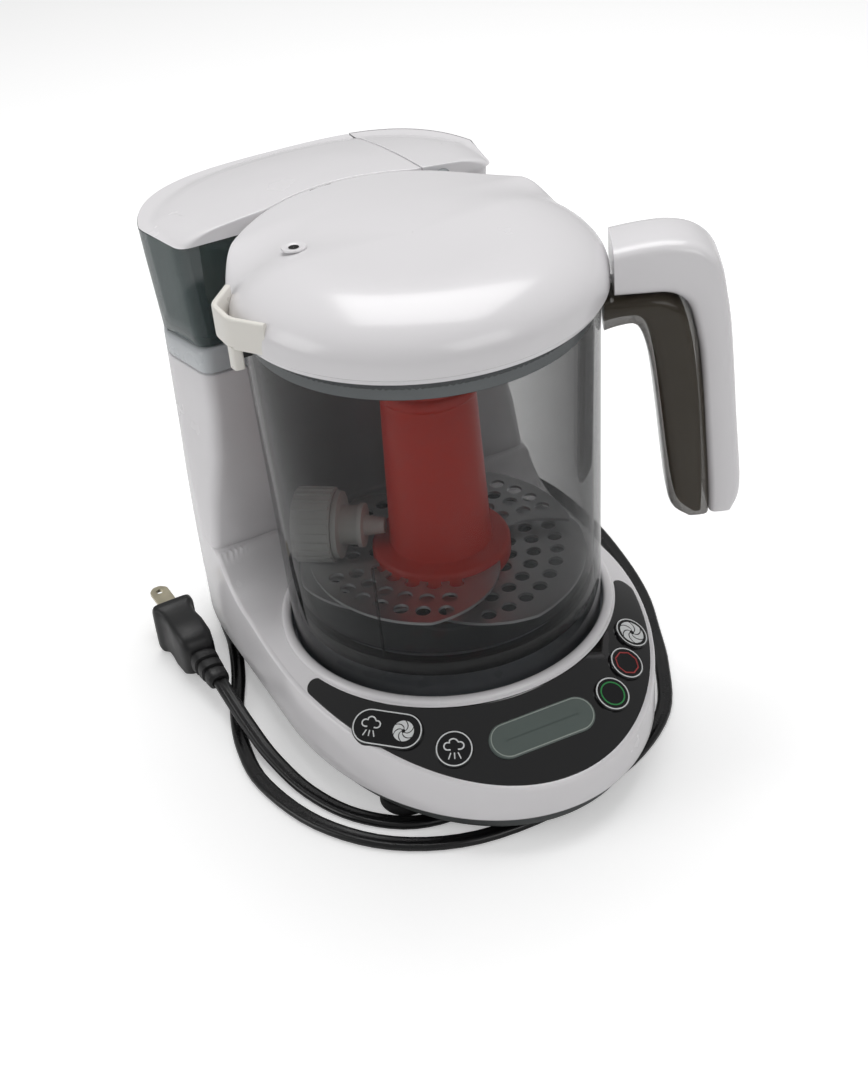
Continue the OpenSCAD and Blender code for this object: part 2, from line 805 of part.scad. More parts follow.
module tank_lid() {
    color("#eceaea") difference() {
        union() {
            difference() {
                translate([0, 0, tank_z + fit]) linear_extrude(cap_top - tank_z + 1) tank_plan(0, fit);
                translate([0, 0, tank_z - 1]) intersection() {
                    linear_extrude(cap_top - tank_z) tank_plan(wall + lip_t, fit);
                    translate([0, 0, 1 - tank_z]) under_dome(wall);
                }
            }
            translate([0, 0, tank_z - 3]) linear_extrude(5) difference() {
                tank_plan(tank_wall + fit, fit);
                tank_plan(tank_wall + fit + lip_t, fit);
            }
        }
        difference() {
            translate([-200, -200, tank_z - 1]) cube([400, 400, 60]);
            under_dome(0);
        }
    }
}

module tank_valve() {
    color("#d8dcdc") translate([tank_valve_x, tank_valve_y, 0]) difference() {
        union() {
            translate([0, 0, tower_z + 3 + fit]) cylinder(d = valve_d - 2, h = 16);
            translate([0, 0, band_z + fit + tank_wall + 1.5]) cylinder(d = valve_d + 5, h = 2);
        }
        translate([0, 0, tower_z]) cylinder(d = 4, h = 12);
    }
}

module tank_seal() {
    color("#2c2d2e") translate([tank_valve_x, tank_valve_y, 0]) difference() {
        union() {
            translate([0, 0, tower_z + 3 + fit]) cylinder(d = valve_d, h = shelf_h);
            translate([0, 0, band_z + fit + tank_wall]) cylinder(d = valve_d + 5, h = 1.5);
        }
        translate([0, 0, tower_z]) cylinder(d = valve_d - 2, h = 30);
    }
}

// Outer and inner radius of the bowl at height z
function bowl_r(z) = bowl_foot_r + (bowl_top_r - bowl_foot_r) * (z - bowl_foot_z)
    / (bowl_rim_z - bowl_foot_z);

module bowl_jar() {
    inner = bowl_r(floor_z) - bowl_wall;
    color("#6d7172") rotate_extrude($fn = 160) polygon([[bowl_foot_r, bowl_foot_z],
        [bowl_top_r, bowl_rim_z], [bowl_top_r - bowl_wall, bowl_rim_z], [inner, floor_z],
        [bush_r, floor_z], [bush_r, floor_z - floor_t], [inner, floor_z - floor_t],
        [bowl_foot_r - bowl_wall, bowl_foot_z]]);
}

module bowl_collar() {
    outer = bowl_r(floor_z - floor_t - collar_h) - bowl_wall - 0.1;
    color("#101011") translate([0, 0, floor_z - floor_t - collar_h]) difference() {
        cylinder(r = outer, h = collar_h, $fn = 120);
        translate([0, 0, -1]) cylinder(r = outer - 5, h = collar_h + 2, $fn = 120);
    }
}

module floor_bush() {
    color("#b08d4c") difference() {
        union() {
            translate([0, 0, floor_z - floor_t - 1]) cylinder(r = bush_r, h = floor_t + 2);
            translate([0, 0, floor_z]) cylinder(r = bush_r + 3, h = 1.6);
        }
        translate([0, 0, floor_z - 10]) cylinder(d = shaft_d + 0.1, h = 20);
    }
}

// Side view of the handle's core and cover: distance from the bowl's axis, height
reach = handle_reach;
core_back = [[reach - 24, lid_z - 1.5], [reach - 19, lid_z - 8], [reach - 16, lid_z - 26],
    [reach - 13, handle_low + 11], [reach - 12.5, handle_low + 0.6]];
core_front = [[reach - 27.5, handle_low + 5], [reach - 30, handle_low + 36],
    [reach - 34, lid_z - 21], [reach - 37, lid_z - 14], [reach - 42, lid_z - 11.5],
    [bowl_foot_r - 1, lid_z - 15]];
cover_back = [[reach - 4, handle_low + 2], [reach - 0.5, handle_low + 8],
    [reach - 2.5, handle_low + 36], [reach - 7, lid_z - 2], [reach - 9, lid_z + 8],
    [reach - 15, lid_z + 15], [reach - 24, lid_z + 18]];

module handle_side(points, w) {
    rotate([0, 0, -handle_swing]) rotate([90, 0, 0]) translate([0, 0, -w / 2])
        linear_extrude(w) polygon(points);
}

module handle_core() {
    color("#6a6458") difference() {
        handle_side(concat([[bowl_foot_r - 1, lid_z - 1.5]], core_back, core_front), handle_w - 1);
        intersection() {
            translate([-3 * cos(handle_swing), 3 * sin(handle_swing), 0])
                handle_side(concat([[bowl_foot_r, lid_z - 4]], core_back, core_front), handle_w - 6);
            rotate([0, 0, -handle_swing]) translate([reach - 38, -40, 0]) cube([60, 80, lid_z - 12]);
        }
        rotate_extrude($fn = 160) polygon([[0, bowl_foot_z], [bowl_foot_r, bowl_foot_z],
            [bowl_top_r, bowl_rim_z], [0, bowl_rim_z]]);
    }
}

module handle_cover() {
    color("#e9e7e8") difference() {
        handle_side(concat([[lid_r + 1, lid_z - 1.5]], core_back, cover_back, [[lid_r + 1, lid_z + 16]]),
            handle_w);
        cylinder(r = lid_r + fit, h = 400, $fn = 160);
    }
}

module blade_driver() {
    color("#b9bcbe") {
        translate([0, 0, well_floor + 16]) cylinder(d = shaft_d, h = hub_bore_top - well_floor - 16);
        difference() {
            translate([0, 0, well_floor + 6])
                cylinder(r = 11, h = floor_z - floor_t - 1.4 - well_floor - 6);
            translate([-6 - fit, -6 - fit, well_floor + 5]) cube([12 + 2 * fit, 12 + 2 * fit, 10.6]);
        }
    }
}

// Outline of one wing of the lower blade; the other is turned half way round
module lower_wing() {
    difference() {
        intersection() {
            circle(r = blade_r, $fn = 120);
            translate(wing_mid) circle(r = wing_r, $fn = 120);
        }
        translate(wing_cut) circle(r = wing_cut_r, $fn = 96);
    }
}

module lower_blade() {
    color("#b4b7b9") translate([0, 0, lower_z]) linear_extrude(blade_t) difference() {
        union() {
            circle(r = 20);
            for (turn = [0, 180]) rotate(turn) lower_wing();
        }
        circle(d = shaft_d, $fn = 48);
        for (turn = [0, 180]) rotate(turn) for (r = [26 : 9 : blade_r], a = [-128 : 2400 / 10 / r * 2 : 60])
            let (p = [r * cos(a), r * sin(a)], edge = hole_d / 2 + 1.6)
            if (r < blade_r - edge && norm(p - wing_mid) < wing_r - edge
                && norm(p - wing_cut) > wing_cut_r + edge)
                translate(p) circle(d = hole_d, $fn = 24);
    }
}

module upper_wing() {
    difference() {
        intersection() {
            circle(r = upper_r, $fn = 120);
            translate(upper_mid) circle(r = upper_wing_r, $fn = 120);
        }
        translate(upper_cut) circle(r = upper_cut_r, $fn = 96);
    }
}

module upper_blade() {
    color("#b4b7b9") translate([0, 0, upper_z]) linear_extrude(blade_t) difference() {
        union() {
            circle(r = hub_d / 2 + 3);
            for (turn = [0, 180]) rotate(turn) upper_wing();
        }
        circle(d = hub_d, $fn = 96);
        for (turn = [0, 180]) rotate(turn) for (r = [28, 36.5, 44], a = [-12 : 480 / r : 80])
            let (p = [r * cos(a), r * sin(a)], edge = hole_d / 2 + 1.4)
            if (r < upper_r - edge && norm(p - upper_mid) < upper_wing_r - edge
                && norm(p - upper_cut) > upper_cut_r + edge)
                translate(p) circle(d = hole_d, $fn = 24);
    }
}

module blade_hub() {
    color("#d3331f") rotate_extrude($fn = 96) polygon([[shaft_d / 2, lower_z + blade_t],
        [flange_d / 2, lower_z + blade_t], [flange_d / 2, upper_z - 1], [flange_d / 2 - 1, upper_z],
        [hub_d / 2, upper_z], [hub_d / 2 - 0.2, upper_z + blade_t + 2],
        [neck_d / 2 + 0.4, hub_top - 22], [neck_d / 2 + 1.4, hub_top - 21],
        [neck_d / 2 + 1.4, hub_top - 18], [neck_d / 2, hub_top - 17], [neck_d / 2 - 0.6, hub_top - 3],
        [neck_d / 2 - 3.6, hub_top], [0, hub_top], [0, hub_bore_top], [shaft_d / 2, hub_bore_top]]);
}

// The lid's solid, drawn in by i: a rounded dome whose rear edge keeps its full height
module lid_solid(i) {
    side_h = 9;
    round_h = lid_top - lid_z - side_h;
    edge = [for (a = [0 : 6 : 90])
        [lid_r - lid_round + (lid_round - i) * cos(a), lid_z + side_h + (round_h - i) * sin(a)]];
    rotate_extrude($fn = 180) polygon(concat([[0, lid_z - i], [lid_r - i, lid_z - i]], edge,
        [[0, lid_top - i]]));
    intersection() {
        translate([0, 0, lid_z]) cylinder(r = lid_r - i, h = lid_top - lid_z, $fn = 180);
        translate([-lid_r, lid_rear_y + i, lid_z]) cube([2 * lid_r, lid_r, lid_top - lid_z]);
        under_dome(i);
    }
}

module lid_shell() {
    color("#e9e7e8") difference() {
        lid_solid(0);
        lid_solid(wall);
        rotate([0, 0, steam_dir]) translate([lid_r - 12, 0, nozzle_z]) rotate([0, 90, 0])
            cylinder(d = nozzle_d, h = 16);
        rotate([0, 0, 165]) translate([42, 0, lid_z]) cylinder(d = 4.4, h = 40);
    }
}

module lid_liner() {
    color("#8b8f92") difference() {
        rotate_extrude($fn = 140) polygon([[0, bowl_rim_z + 1.4], [liner_r - 1.8, bowl_rim_z + 1.4],
            [liner_r - 1.8, liner_low], [liner_r, liner_low], [liner_r, bowl_rim_z + 1.4],
            [lid_r - wall - 0.2, bowl_rim_z + 1.4], [lid_r - wall - 0.2, bowl_rim_z + 3],
            [0, bowl_rim_z + 3]]);
        rotate([0, 0, steam_dir]) translate([48, 0, 100]) cylinder(d = 9, h = 100);
    }
}

module lid_seal() {
    color("#d5d8d8") rotate_extrude($fn = 140) polygon([[liner_r, bowl_rim_z + fit / 2],
        [bowl_top_r, bowl_rim_z + fit / 2], [bowl_top_r, bowl_rim_z + 1.4],
        [liner_r, bowl_rim_z + 1.4]]);
}

module lid_tab() {
    out = lid_r + tab_reach;
    color("#ebe8e1") difference() {
        translate([-out, -tab_w / 2, lid_z - 6]) cube([tab_reach + 8, tab_w, 20]);
        translate([-out + 2.6, -tab_w / 2 + 2.6, lid_z - 2]) cube([tab_reach + 20, tab_w - 5.2, 30]);
        translate([-out - 1, -tab_w / 2 - 1, lid_z + 8]) cube([4.2, tab_w + 2, 10]);
        cylinder(r = lid_r, h = 400, $fn = 180);
    }
}

module steam_inlet() {
    color("#8f9496") rotate([0, 0, steam_dir]) translate([0, 0, nozzle_z]) rotate([0, 90, 0])
        difference() {
            translate([0, 0, lid_r - wall - 3]) cylinder(d = nozzle_d, h = wall + 2.9);
            translate([0, 0, lid_r - 20]) cylinder(d = 3.4, h = 40);
        }
}

module pouch_frame() {
    translate(pouch_end) rotate([0, 90, pouch_turn]) children();
}

module pouch_cap() {
    color("#e6e7e3") pouch_frame() difference() {
        union() {
            cylinder(d = pouch_d - 1.6, h = pouch_len, $fn = 64);
            for (i = [0 : 23]) rotate(i * 15) translate([0, 0, 0.6])
                translate([pouch_d / 2 - 1.6, -0.9, 0]) cube([1.6, 1.8, pouch_len - 1.2]);
        }
        translate([0, 0, 1.8]) cylinder(d = pouch_d - 6, h = pouch_len);
    }
}

module pouch_adapter() {
    color("#d9dad6") pouch_frame() difference() {
        union() {
            translate([0, 0, 4]) cylinder(d = pouch_d - 6 - 2 * fit, h = pouch_len - 4 + fit + eps);
            translate([0, 0, pouch_len + fit]) cylinder(d = pouch_d - 3, h = 2);
            translate([0, 0, pouch_len + fit + 2 - eps]) cylinder(d = 15, h = 7);
            translate([0, 0, pouch_len + fit + 9 - 2 * eps]) cylinder(d = 17, h = 1.8);
            translate([0, 0, pouch_len + fit + 10.6]) cylinder(d1 = 8, d2 = 6, h = 8);
        }
        translate([0, 0, -1]) cylinder(d = 3.6, h = 60);
        translate([0, 0, pouch_len + fit + 4]) rotate([0, 90, 0]) translate([-1.6, -1.8, 5])
            cube([3.2, 3.6, 4]);
    }
}

place() base_shell();
place() bottom_pan();
place() feet();
place() base_screws();
place() seat_well();
place() trim_ring();
place() control_panel();
place() display_window();
place() lcd_module();
place() panel_board();
place() steam_blend_button();
place() steam_button();
place() start_button();
place() stop_button();
place() blend_button();
place() tower_shell();
place() tank_shelf();
place() tower_head();
place() tower_cap();
place() steam_nozzle();
place() steam_tube();
place() boiler();
place() boiler_bracket();
place() water_tube();
place() motor();
place() motor_mount();
place() motor_pulley();
place() drive_belt();
place() drive_pulley();
place() drive_coupler();
place() bearing();
place() power_board();
place() seat_switch();
place() cord_gland();
place() power_cord();
place() plug_body();
place() plug_blades();
place() tank_shell();
place() tank_lid();
place() tank_valve();
place() tank_seal();
place() bowl_jar();
place() bowl_collar();
place() floor_bush();
place() handle_core();
place() handle_cover();
place() blade_driver();
place() lower_blade();
place() upper_blade();
place() blade_hub();
place() lid_shell();
place() lid_liner();
place() lid_seal();
place() lid_tab();
place() steam_inlet();
place() pouch_cap();
place() pouch_adapter();
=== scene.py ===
from math import acos, asin, atan2, copysign, cos, hypot, pi, radians, sin, sqrt, tan

import bpy
from mathutils import Matrix, Vector


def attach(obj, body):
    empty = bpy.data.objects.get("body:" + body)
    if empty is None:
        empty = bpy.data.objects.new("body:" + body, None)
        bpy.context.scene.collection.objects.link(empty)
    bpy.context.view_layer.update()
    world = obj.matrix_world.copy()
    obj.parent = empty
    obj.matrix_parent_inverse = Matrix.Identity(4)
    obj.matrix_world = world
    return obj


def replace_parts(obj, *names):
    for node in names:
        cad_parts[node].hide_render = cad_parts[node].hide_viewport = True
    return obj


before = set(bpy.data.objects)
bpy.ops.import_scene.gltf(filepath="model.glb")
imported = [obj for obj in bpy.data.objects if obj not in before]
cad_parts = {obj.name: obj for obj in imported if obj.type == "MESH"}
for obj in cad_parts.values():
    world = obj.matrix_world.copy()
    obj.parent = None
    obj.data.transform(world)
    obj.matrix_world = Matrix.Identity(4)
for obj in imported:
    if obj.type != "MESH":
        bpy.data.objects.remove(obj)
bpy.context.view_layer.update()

# ---------------------------------------------------------------- places and sizes, in millimetres
# Everything is laid out about the bowl's upright axis, as the CAD source does; at() moves it into the part's frame.
AXIS = (-13.4966, -16.0)
# The base's plan: its half width, the reach of its front from the bowl's axis, the length of the straight sides behind
# that axis, the reach of its rear beyond them, and how full the rear curve is
HALF_W, FRONT_LEN, SIDE_LEN, REAR_LEN = 72.0, 98.0, 56.0, 74.0
REAR_FULL = 3.0
REAR_POWER = 2 / REAR_FULL
# The deck, its seat ring and the slope in front of it
DECK_Z, RING_R, WELL_R = 45.0, 65.0, 61.0
SLOPE_ANGLE = radians(30)
SLOPE = tan(SLOPE_ANGLE)
# The tower: its front face, the scoop that clears the bowl, the seam, and where the head and the tank stop beside it
TOWER_Y, SCOOP_R, SEAM_X = 60.0, 67.6, 34.0
HEAD_X, TANK_X = SEAM_X + 0.25, SEAM_X - 0.6
# The underside of the caps; the tank's underside, its floor and its wall's thickness
CAP_Z = 188.0
TANK_LOW, TANK_FLOOR, TANK_WALL = 146.3, 148.6, 2.2
# The lid's radius, its foot and its top; the lead's height where it leaves the rear
LID_R, LID_Z, LID_TOP = 66.0, 176.0, 199.0
LEAD_Z = 9.4


def at(x, y, z):
    return Vector(((x + AXIS[0]) / 1000, (y + AXIS[1]) / 1000, z / 1000))


def polar(radius, angle):
    return radius * cos(angle), radius * sin(angle)


def level(points, z):
    """Ring at one height."""
    return [at(x, y, z) for x, y in points]


def turned(radius, z, angles):
    """Ring about the bowl's axis."""
    return [at(*polar(radius, a), z) for a in angles]


def full_turn(count):
    return [2 * pi * k / count for k in range(count)]


def power_of(value, power):
    """Signed power, for superellipses."""
    return copysign(abs(value) ** power, value)


# ---------------------------------------------------------------- camera
CAMERA_AT, CAMERA_LENS, SENSOR_WIDTH = (-212.0, -458.0, 418.7), 66.36, 36.0
CAMERA_DOWN, CAMERA_ROLL, CAMERA_YAW = radians(34.6), radians(-5.5), radians(24.5)


def make_camera():
    data = bpy.data.cameras.new("photo_camera")
    data.sensor_fit, data.sensor_width, data.lens = "HORIZONTAL", SENSOR_WIDTH, CAMERA_LENS
    data.clip_start, data.clip_end = 0.05, 20.0
    cam = bpy.data.objects.new("photo_camera", data)
    bpy.context.collection.objects.link(cam)
    right = Vector((1, 0, 0))
    up = Vector((0, sin(CAMERA_DOWN), cos(CAMERA_DOWN)))
    back = -Vector((0, cos(CAMERA_DOWN), -sin(CAMERA_DOWN)))
    c, s = cos(CAMERA_ROLL), sin(CAMERA_ROLL)
    turn = Matrix.Rotation(-CAMERA_YAW, 3, "Z")
    axes = [turn @ v for v in (right * c + up * s, up * c - right * s, back)]
    cam.matrix_world = Matrix.Translation(at(*CAMERA_AT)) @ Matrix(axes).transposed().to_4x4()
    bpy.context.scene.camera = cam


make_camera()


# ---------------------------------------------------------------- mesh tools
SHARP_ANGLE = radians(42)


def mesh_piece(name, verts, faces, body, material, flat=False):
    mesh = bpy.data.meshes.new(name)
    mesh.from_pydata([tuple(v) for v in verts], [], faces)
    mesh.validate()
    piece = bpy.data.objects.new(name, mesh)
    bpy.context.collection.objects.link(piece)
    for polygon in mesh.polygons:
        polygon.use_smooth = not flat
    if not flat:
        mesh.set_sharp_from_angle(angle=SHARP_ANGLE)
    if material:
        mesh.materials.append(material)
    if body:
        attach(piece, body)
    return piece


def grid_faces(rows, columns, close_rows=False, close_columns=False, flip=False):
    faces = []
    for i in range(rows if close_rows else rows - 1):
        for j in range(columns if close_columns else columns - 1):
            a, b = i * columns + j, i * columns + (j + 1) % columns
            c, d = ((i + 1) % rows) * columns + (j + 1) % columns, ((i + 1) % rows) * columns + j
            faces.append((a, d, c, b) if flip else (a, b, c, d))
    return faces


def loft(name, rings, body, material, closed=True, caps=(False, False), flip=False):
    """Skin over rings of points that all have the same count."""
    columns = len(rings[0])
    verts = [p for ring in rings for p in ring]
    faces = grid_faces(len(rings), columns, False, closed, flip)
    if caps[0]:
        ends = list(range(columns))
        faces.append(tuple(ends if flip else reversed(ends)))
    if caps[1]:
        ends = [(len(rings) - 1) * columns + j for j in range(columns)]
        faces.append(tuple(reversed(ends) if flip else ends))
    return mesh_piece(name, verts, faces, body, material)


def lathe(name, profile, body, material, steps, place=at, closed=False):
    """Turned piece: profile of (radius, height), going up on the outside."""
    verts = [place(*polar(r, a), z) for r, z in profile for a in full_turn(steps)]
    return mesh_piece(name, verts, grid_faces(len(profile), steps, closed, True), body, material)


def circle(radius, count, u0=0.0, v0=0.0):
    return [(u0 + radius * cos(a), v0 + radius * sin(a)) for a in full_turn(count)]


def rounded(points, radius, steps, closed=False):
    """Polyline with its corners rounded; radius is one number or one for each point."""
    count, out = len(points), []
    for i, p in enumerate(points):
        r = radius[i] if isinstance(radius, (list, tuple)) else radius
        if (not closed and i in (0, count - 1)) or r <= 0:
            out.append(tuple(p))
            continue
        a, b, c = Vector(points[i - 1]), Vector(p), Vector(points[(i + 1) % count])
        ab, cb = a - b, c - b
        # Short of half a side, so that two corners never meet
        cut = min(r, ab.length * 0.49, cb.length * 0.49)
        start, end = b + ab.normalized() * cut, b + cb.normalized() * cut
        for k in range(steps + 1):
            t = k / steps
            out.append(tuple(start * (1 - t) ** 2 + b * 2 * t * (1 - t) + end * t * t))
    return out


def smooth_path(points, per_span):
    """Smooth curve through the points, as the CAD source draws the cord."""
    pts = [Vector(p) for p in points]
    count, out = len(pts), []
    for i in range(count - 1):
        a, b, c, d = pts[max(i - 1, 0)], pts[i], pts[i + 1], pts[min(i + 2, count - 1)]
        for k in range(per_span):
            t = k / per_span
            bend, twist = 2 * a - 5 * b + 4 * c - d, 3 * b - a - 3 * c + d
            out.append(0.5 * (2 * b + (c - a) * t + bend * t * t + twist * t ** 3))
    return out + [pts[-1]]


def carried(name, path, section, body, material, start_way, end_way):
    """Section (side, up) carried along the path; its up stays as near to the sky as it can."""
    rings, last = [], len(path) - 1
    for k, p in enumerate(path):
        ahead = {0: start_way, last: end_way}.get(k) or path[k + 1] - path[k - 1]
        ahead = Vector(ahead).normalized()
        side = ahead.cross(Vector((0, 0, 1))).normalized()
        up = side.cross(ahead)
        rings.append([at(*(p + side * u + up * v)) for u, v in section])
    return loft(name, rings, body, material, caps=(True, True), flip=True)


def smoothstep(x):
    x = max(0.0, min(1.0, x))
    return x * x * (3 - 2 * x)


# ---------------------------------------------------------------- materials
def linear(hexcode, alpha=1.0):
    channels = [int(hexcode[i:i + 2], 16) / 255 for i in (1, 3, 5)]
    return tuple(c / 12.92 if c <= 0.04045 else ((c + 0.055) / 1.055) ** 2.4 for c in channels) + (alpha,)


def add_node(tree, kind, settings=None, inputs=None):
    """One node: its own settings, then its inputs, each a value or another node's output socket."""
    node = tree.nodes.new(kind)
    for key, value in (settings or {}).items():
        setattr(node, key, value)
    for key, value in (inputs or {}).items():
        socket = node.inputs[key]
        if isinstance(value, bpy.types.NodeSocket):
            tree.links.new(value, socket)
        else:
            socket.default_value = value
    return node


# How far the roughness drifts over the patches, and the part of the noise's range that the drift is spread over
ROUGH_DRIFT, NOISE_LOW, NOISE_HIGH = 0.16, 0.3, 0.7


def bare_tree(thing, kind):
    """Node tree with nothing in it but its output."""
    thing.use_nodes = True
    thing.node_tree.nodes.clear()
    return thing.node_tree, add_node(thing.node_tree, kind)


def finish_of(name, colour, roughness, variation, patch_mm, grain_mm=0.0, grain_height=0.0, **sockets):
    """A finish: the colour drifts a little over patches, and a fine grain gives the surface its tooth."""
    material = bpy.data.materials.new(name)
    tree, out = bare_tree(material, "ShaderNodeOutputMaterial")
    where = add_node(tree, "ShaderNodeTexCoord").outputs["Object"]
    base = linear(colour)
    patches = add_node(tree, "ShaderNodeTexNoise", None, {"Vector": where, "Scale": 1000 / patch_mm, "Detail": 4.0})
    dark = tuple(c * (1 - variation) for c in base[:3]) + (1,)
    light = tuple(min(1.0, c * (1 + variation)) for c in base[:3]) + (1,)
    tint = add_node(tree, "ShaderNodeMix", {"data_type": "RGBA"}, {0: patches.outputs["Fac"], 6: dark, 7: light})
    rough = add_node(tree, "ShaderNodeMapRange", None, {
        "Value": patches.outputs["Fac"], "From Min": NOISE_LOW, "From Max": NOISE_HIGH,
        "To Min": max(0.01, roughness * (1 - ROUGH_DRIFT)), "To Max": min(1.0, roughness * (1 + ROUGH_DRIFT))})
    shader = add_node(tree, "ShaderNodeBsdfPrincipled", None, {
        "Base Color": tint.outputs[2], "Roughness": rough.outputs[0], **sockets})
    if grain_mm:
        grain = add_node(tree, "ShaderNodeTexNoise", None, {"Vector": where, "Scale": 1000 / grain_mm, "Detail": 2.0})
        bump = add_node(tree, "ShaderNodeBump", None, {
            "Height": grain.outputs["Fac"], "Strength": 1.0, "Distance": grain_height / 1000})
        tree.links.new(bump.outputs[0], shader.inputs["Normal"])
    tree.links.new(shader.outputs[0], out.inputs[0])
    return material


def clear_of(name, colour, least, most, roughness):
    """A tinted clear plastic: it covers more where the wall is looked along than where it is looked through."""
    material = finish_of(name, colour, roughness, 0.03, 30)
    tree = material.node_tree
    shader = next(n for n in tree.nodes if n.type == "BSDF_PRINCIPLED")
    facing = add_node(tree, "ShaderNodeLayerWeight", None, {"Blend": 0.35})
    cover = add_node(tree, "ShaderNodeMapRange", None, {
        "Value": facing.outputs["Facing"], "To Min": least, "To Max": most})
    tree.links.new(cover.outputs[0], shader.inputs["Alpha"])
    return material


# Gloss white ABS, injection moulded in a polished tool: even, cool white with soft broad highlights
white_abs = finish_of("white_abs", "#E6E4E6", 0.24, 0.012, 40, 1.6, 0.012,
                      **{"Coat Weight": 0.25, "Coat Roughness": 0.08})
# Warm white ABS, moulded apart for the lid's tab: a shade creamier and duller than the lid
warm_abs = finish_of("warm_white_abs", "#E9E6DF", 0.3, 0.012, 30, 1.6, 0.012)
# Light grey ABS, injection moulded: the cool band under the tank
band_abs = finish_of("light_grey_abs", "#C4C8CB", 0.28, 0.015, 30, 1.6, 0.012)
# Silver-grey ABS, injection moulded: the seat under the bowl, satin and a little blue
well_abs = finish_of("silver_grey_abs", "#B4B9BF", 0.3, 0.02, 20, 1.4, 0.012)
# Grey polypropylene, moulded in a spark-eroded tool: the pan's dull, fine-grained dark grey
pan_pp = finish_of("grey_polypropylene", "#4B4E4E", 0.55, 0.05, 15, 0.9, 0.03)
# Black rubber, compression moulded: dull feet with a trace of dust
foot_rubber = finish_of("foot_rubber", "#1B1B1C", 0.75, 0.12, 6, 0.7, 0.03)
# Black acrylic, cast and printed behind: the panel's deep black with a hard shine
panel_acrylic = finish_of("black_acrylic", "#0B0B0D", 0.06, 0.1, 30,
                          **{"Coat Weight": 0.6, "Coat Roughness": 0.03})
# Black polyester film over the buttons: the same black, a touch softer in its shine
button_acrylic = finish_of("black_button_film", "#0E0E10", 0.12, 0.1, 10)
# Grey tinted acrylic, cut from sheet: the display's unlit window
window_grey = finish_of("display_window_grey", "#5F6965", 0.1, 0.1, 18)
# Light grey ink, screen printed: the window's fine edge line
edge_grey = finish_of("display_edge_ink", "#9AA39C", 0.4, 0.05, 6)
# Grey glass of the display module, lapped and filmed: flat grey-green behind the window
lcd_grey = finish_of("lcd_grey", "#9AA39A", 0.35, 0.05, 10)
# Screen-printed inks, flat and matt: the white, green and red function symbols
ink_white = finish_of("white_ink", "#E4E6E6", 0.5, 0.03, 4)
ink_green = finish_of("green_ink", "#2F8F4B", 0.45, 0.05, 4)
ink_red = finish_of("red_ink", "#A83A3A", 0.45, 0.05, 4)
# Smoky clear copolyester, injection moulded: the bowl's dark grey glassy wall
smoky_clear = clear_of("smoky_copolyester", "#1E2021", 0.17, 0.85, 0.04)
# The same copolyester, thick in the handle's core: smoky like the bowl, with painted shade in its brown-grey tint, the
# shadowed channel seen through it
handle_clear = clear_of("smoky_handle_copolyester", "#4A4338", 0.55, 0.95, 0.09)
# Painted shade: a dark brown-grey solid inside the handle's core, standing in for the shadow in its channel
channel_shade = finish_of("painted_channel_shade", "#3A342C", 0.6, 0.1, 14)
# Blue-grey copolyester, injection moulded and finely matted inside: the tank's cloudy wall
tank_clear = clear_of("blue_grey_copolyester", "#4E5C5C", 0.5, 0.95, 0.1)
# Olive block inside the tank, seen dimly through its cloudy wall
tank_olive = finish_of("olive_tank_finish", "#6A6950", 0.5, 0.05, 12)
# Red polypropylene, injection moulded: the hub's warm satin red, a little see-through at its edges
hub_red = finish_of("red_polypropylene", "#DE2E14", 0.35, 0.05, 20, 1.2, 0.02,
                    **{"Subsurface Weight": 0.1, "Subsurface Scale": 0.004})
# Stainless sheet, punched and tumbled: the blades' soft grey metal
blade_steel = finish_of("brushed_stainless", "#C9CBCC", 0.38, 0.03, 14, Metallic=0.85)
# Steel bar, turned: the shaft's clean bright grey
shaft_steel = finish_of("turned_steel", "#A9ACAE", 0.3, 0.05, 5, Metallic=1.0)
# Zinc-plated steel, pressed: screws and brackets, a mottled grey
zinc = finish_of("zinc_plated_steel", "#9EA2A4", 0.42, 0.06, 6, 0.8, 0.01, Metallic=1.0)
# Die-cast aluminium: the boiler's rough light grey
cast_aluminium = finish_of("cast_aluminium", "#A9ACAE", 0.5, 0.06, 8, 1.0, 0.05, Metallic=1.0)
# Sintered bronze: the bearings' dull gold
bronze = finish_of("bearing_bronze", "#B08D4C", 0.35, 0.06, 6, Metallic=1.0)
# Nickel-plated brass, stamped: the plug's blades, pale gold dulled by use
blade_brass = finish_of("nickel_plated_brass", "#CFC7AF", 0.33, 0.08, 4, 0.5, 0.01, Metallic=1.0)
# Black PVC, extruded: the lead's glossy black with long highlights
cord_pvc = finish_of("black_pvc", "#0E0E0F", 0.28, 0.15, 12, 1.0, 0.012)
# Black PVC, moulded round the wires: the plug's satin black
plug_pvc = finish_of("black_moulded_pvc", "#131314", 0.42, 0.12, 10, 0.8, 0.02)
# Nylon, injection moulded: satin black and grey working parts
black_nylon = finish_of("black_nylon", "#141415", 0.5, 0.1, 10, 1.0, 0.02)
grey_nylon = finish_of("grey_nylon", "#8A8F91", 0.45, 0.05, 10, 1.0, 0.02)
# Grey polypropylene, injection moulded: the lid's skirt that shows through the bowl's rim
liner_grey = finish_of("liner_polypropylene", "#8B9092", 0.35, 0.04, 20, 1.2, 0.015)
# White polypropylene, injection moulded: the milky pouch adapter and its ribbed cap
milky_pp = finish_of("white_polypropylene", "#DCDDD8", 0.42, 0.03, 12, 1.0, 0.02)
# Silicone, moulded: cloudy seals and tubes
silicone = finish_of("clear_silicone", "#D3D4CC", 0.5, 0.03, 10)
# Glass-epoxy board, pressed and lacquered: the circuit boards' green
circuit_board = finish_of("circuit_board", "#1E5B34", 0.4, 0.1, 3)
# Neoprene, moulded on cord: the belt's dull black
belt_rubber = finish_of("belt_rubber", "#1D1D1E", 0.7, 0.1, 4, 1.0, 0.05)
# Unlit hollow, no surface of its own: the dark of vents and slots
dark_hole = finish_of("dark_opening", "#0A0A0A", 0.9, 0.1, 5)

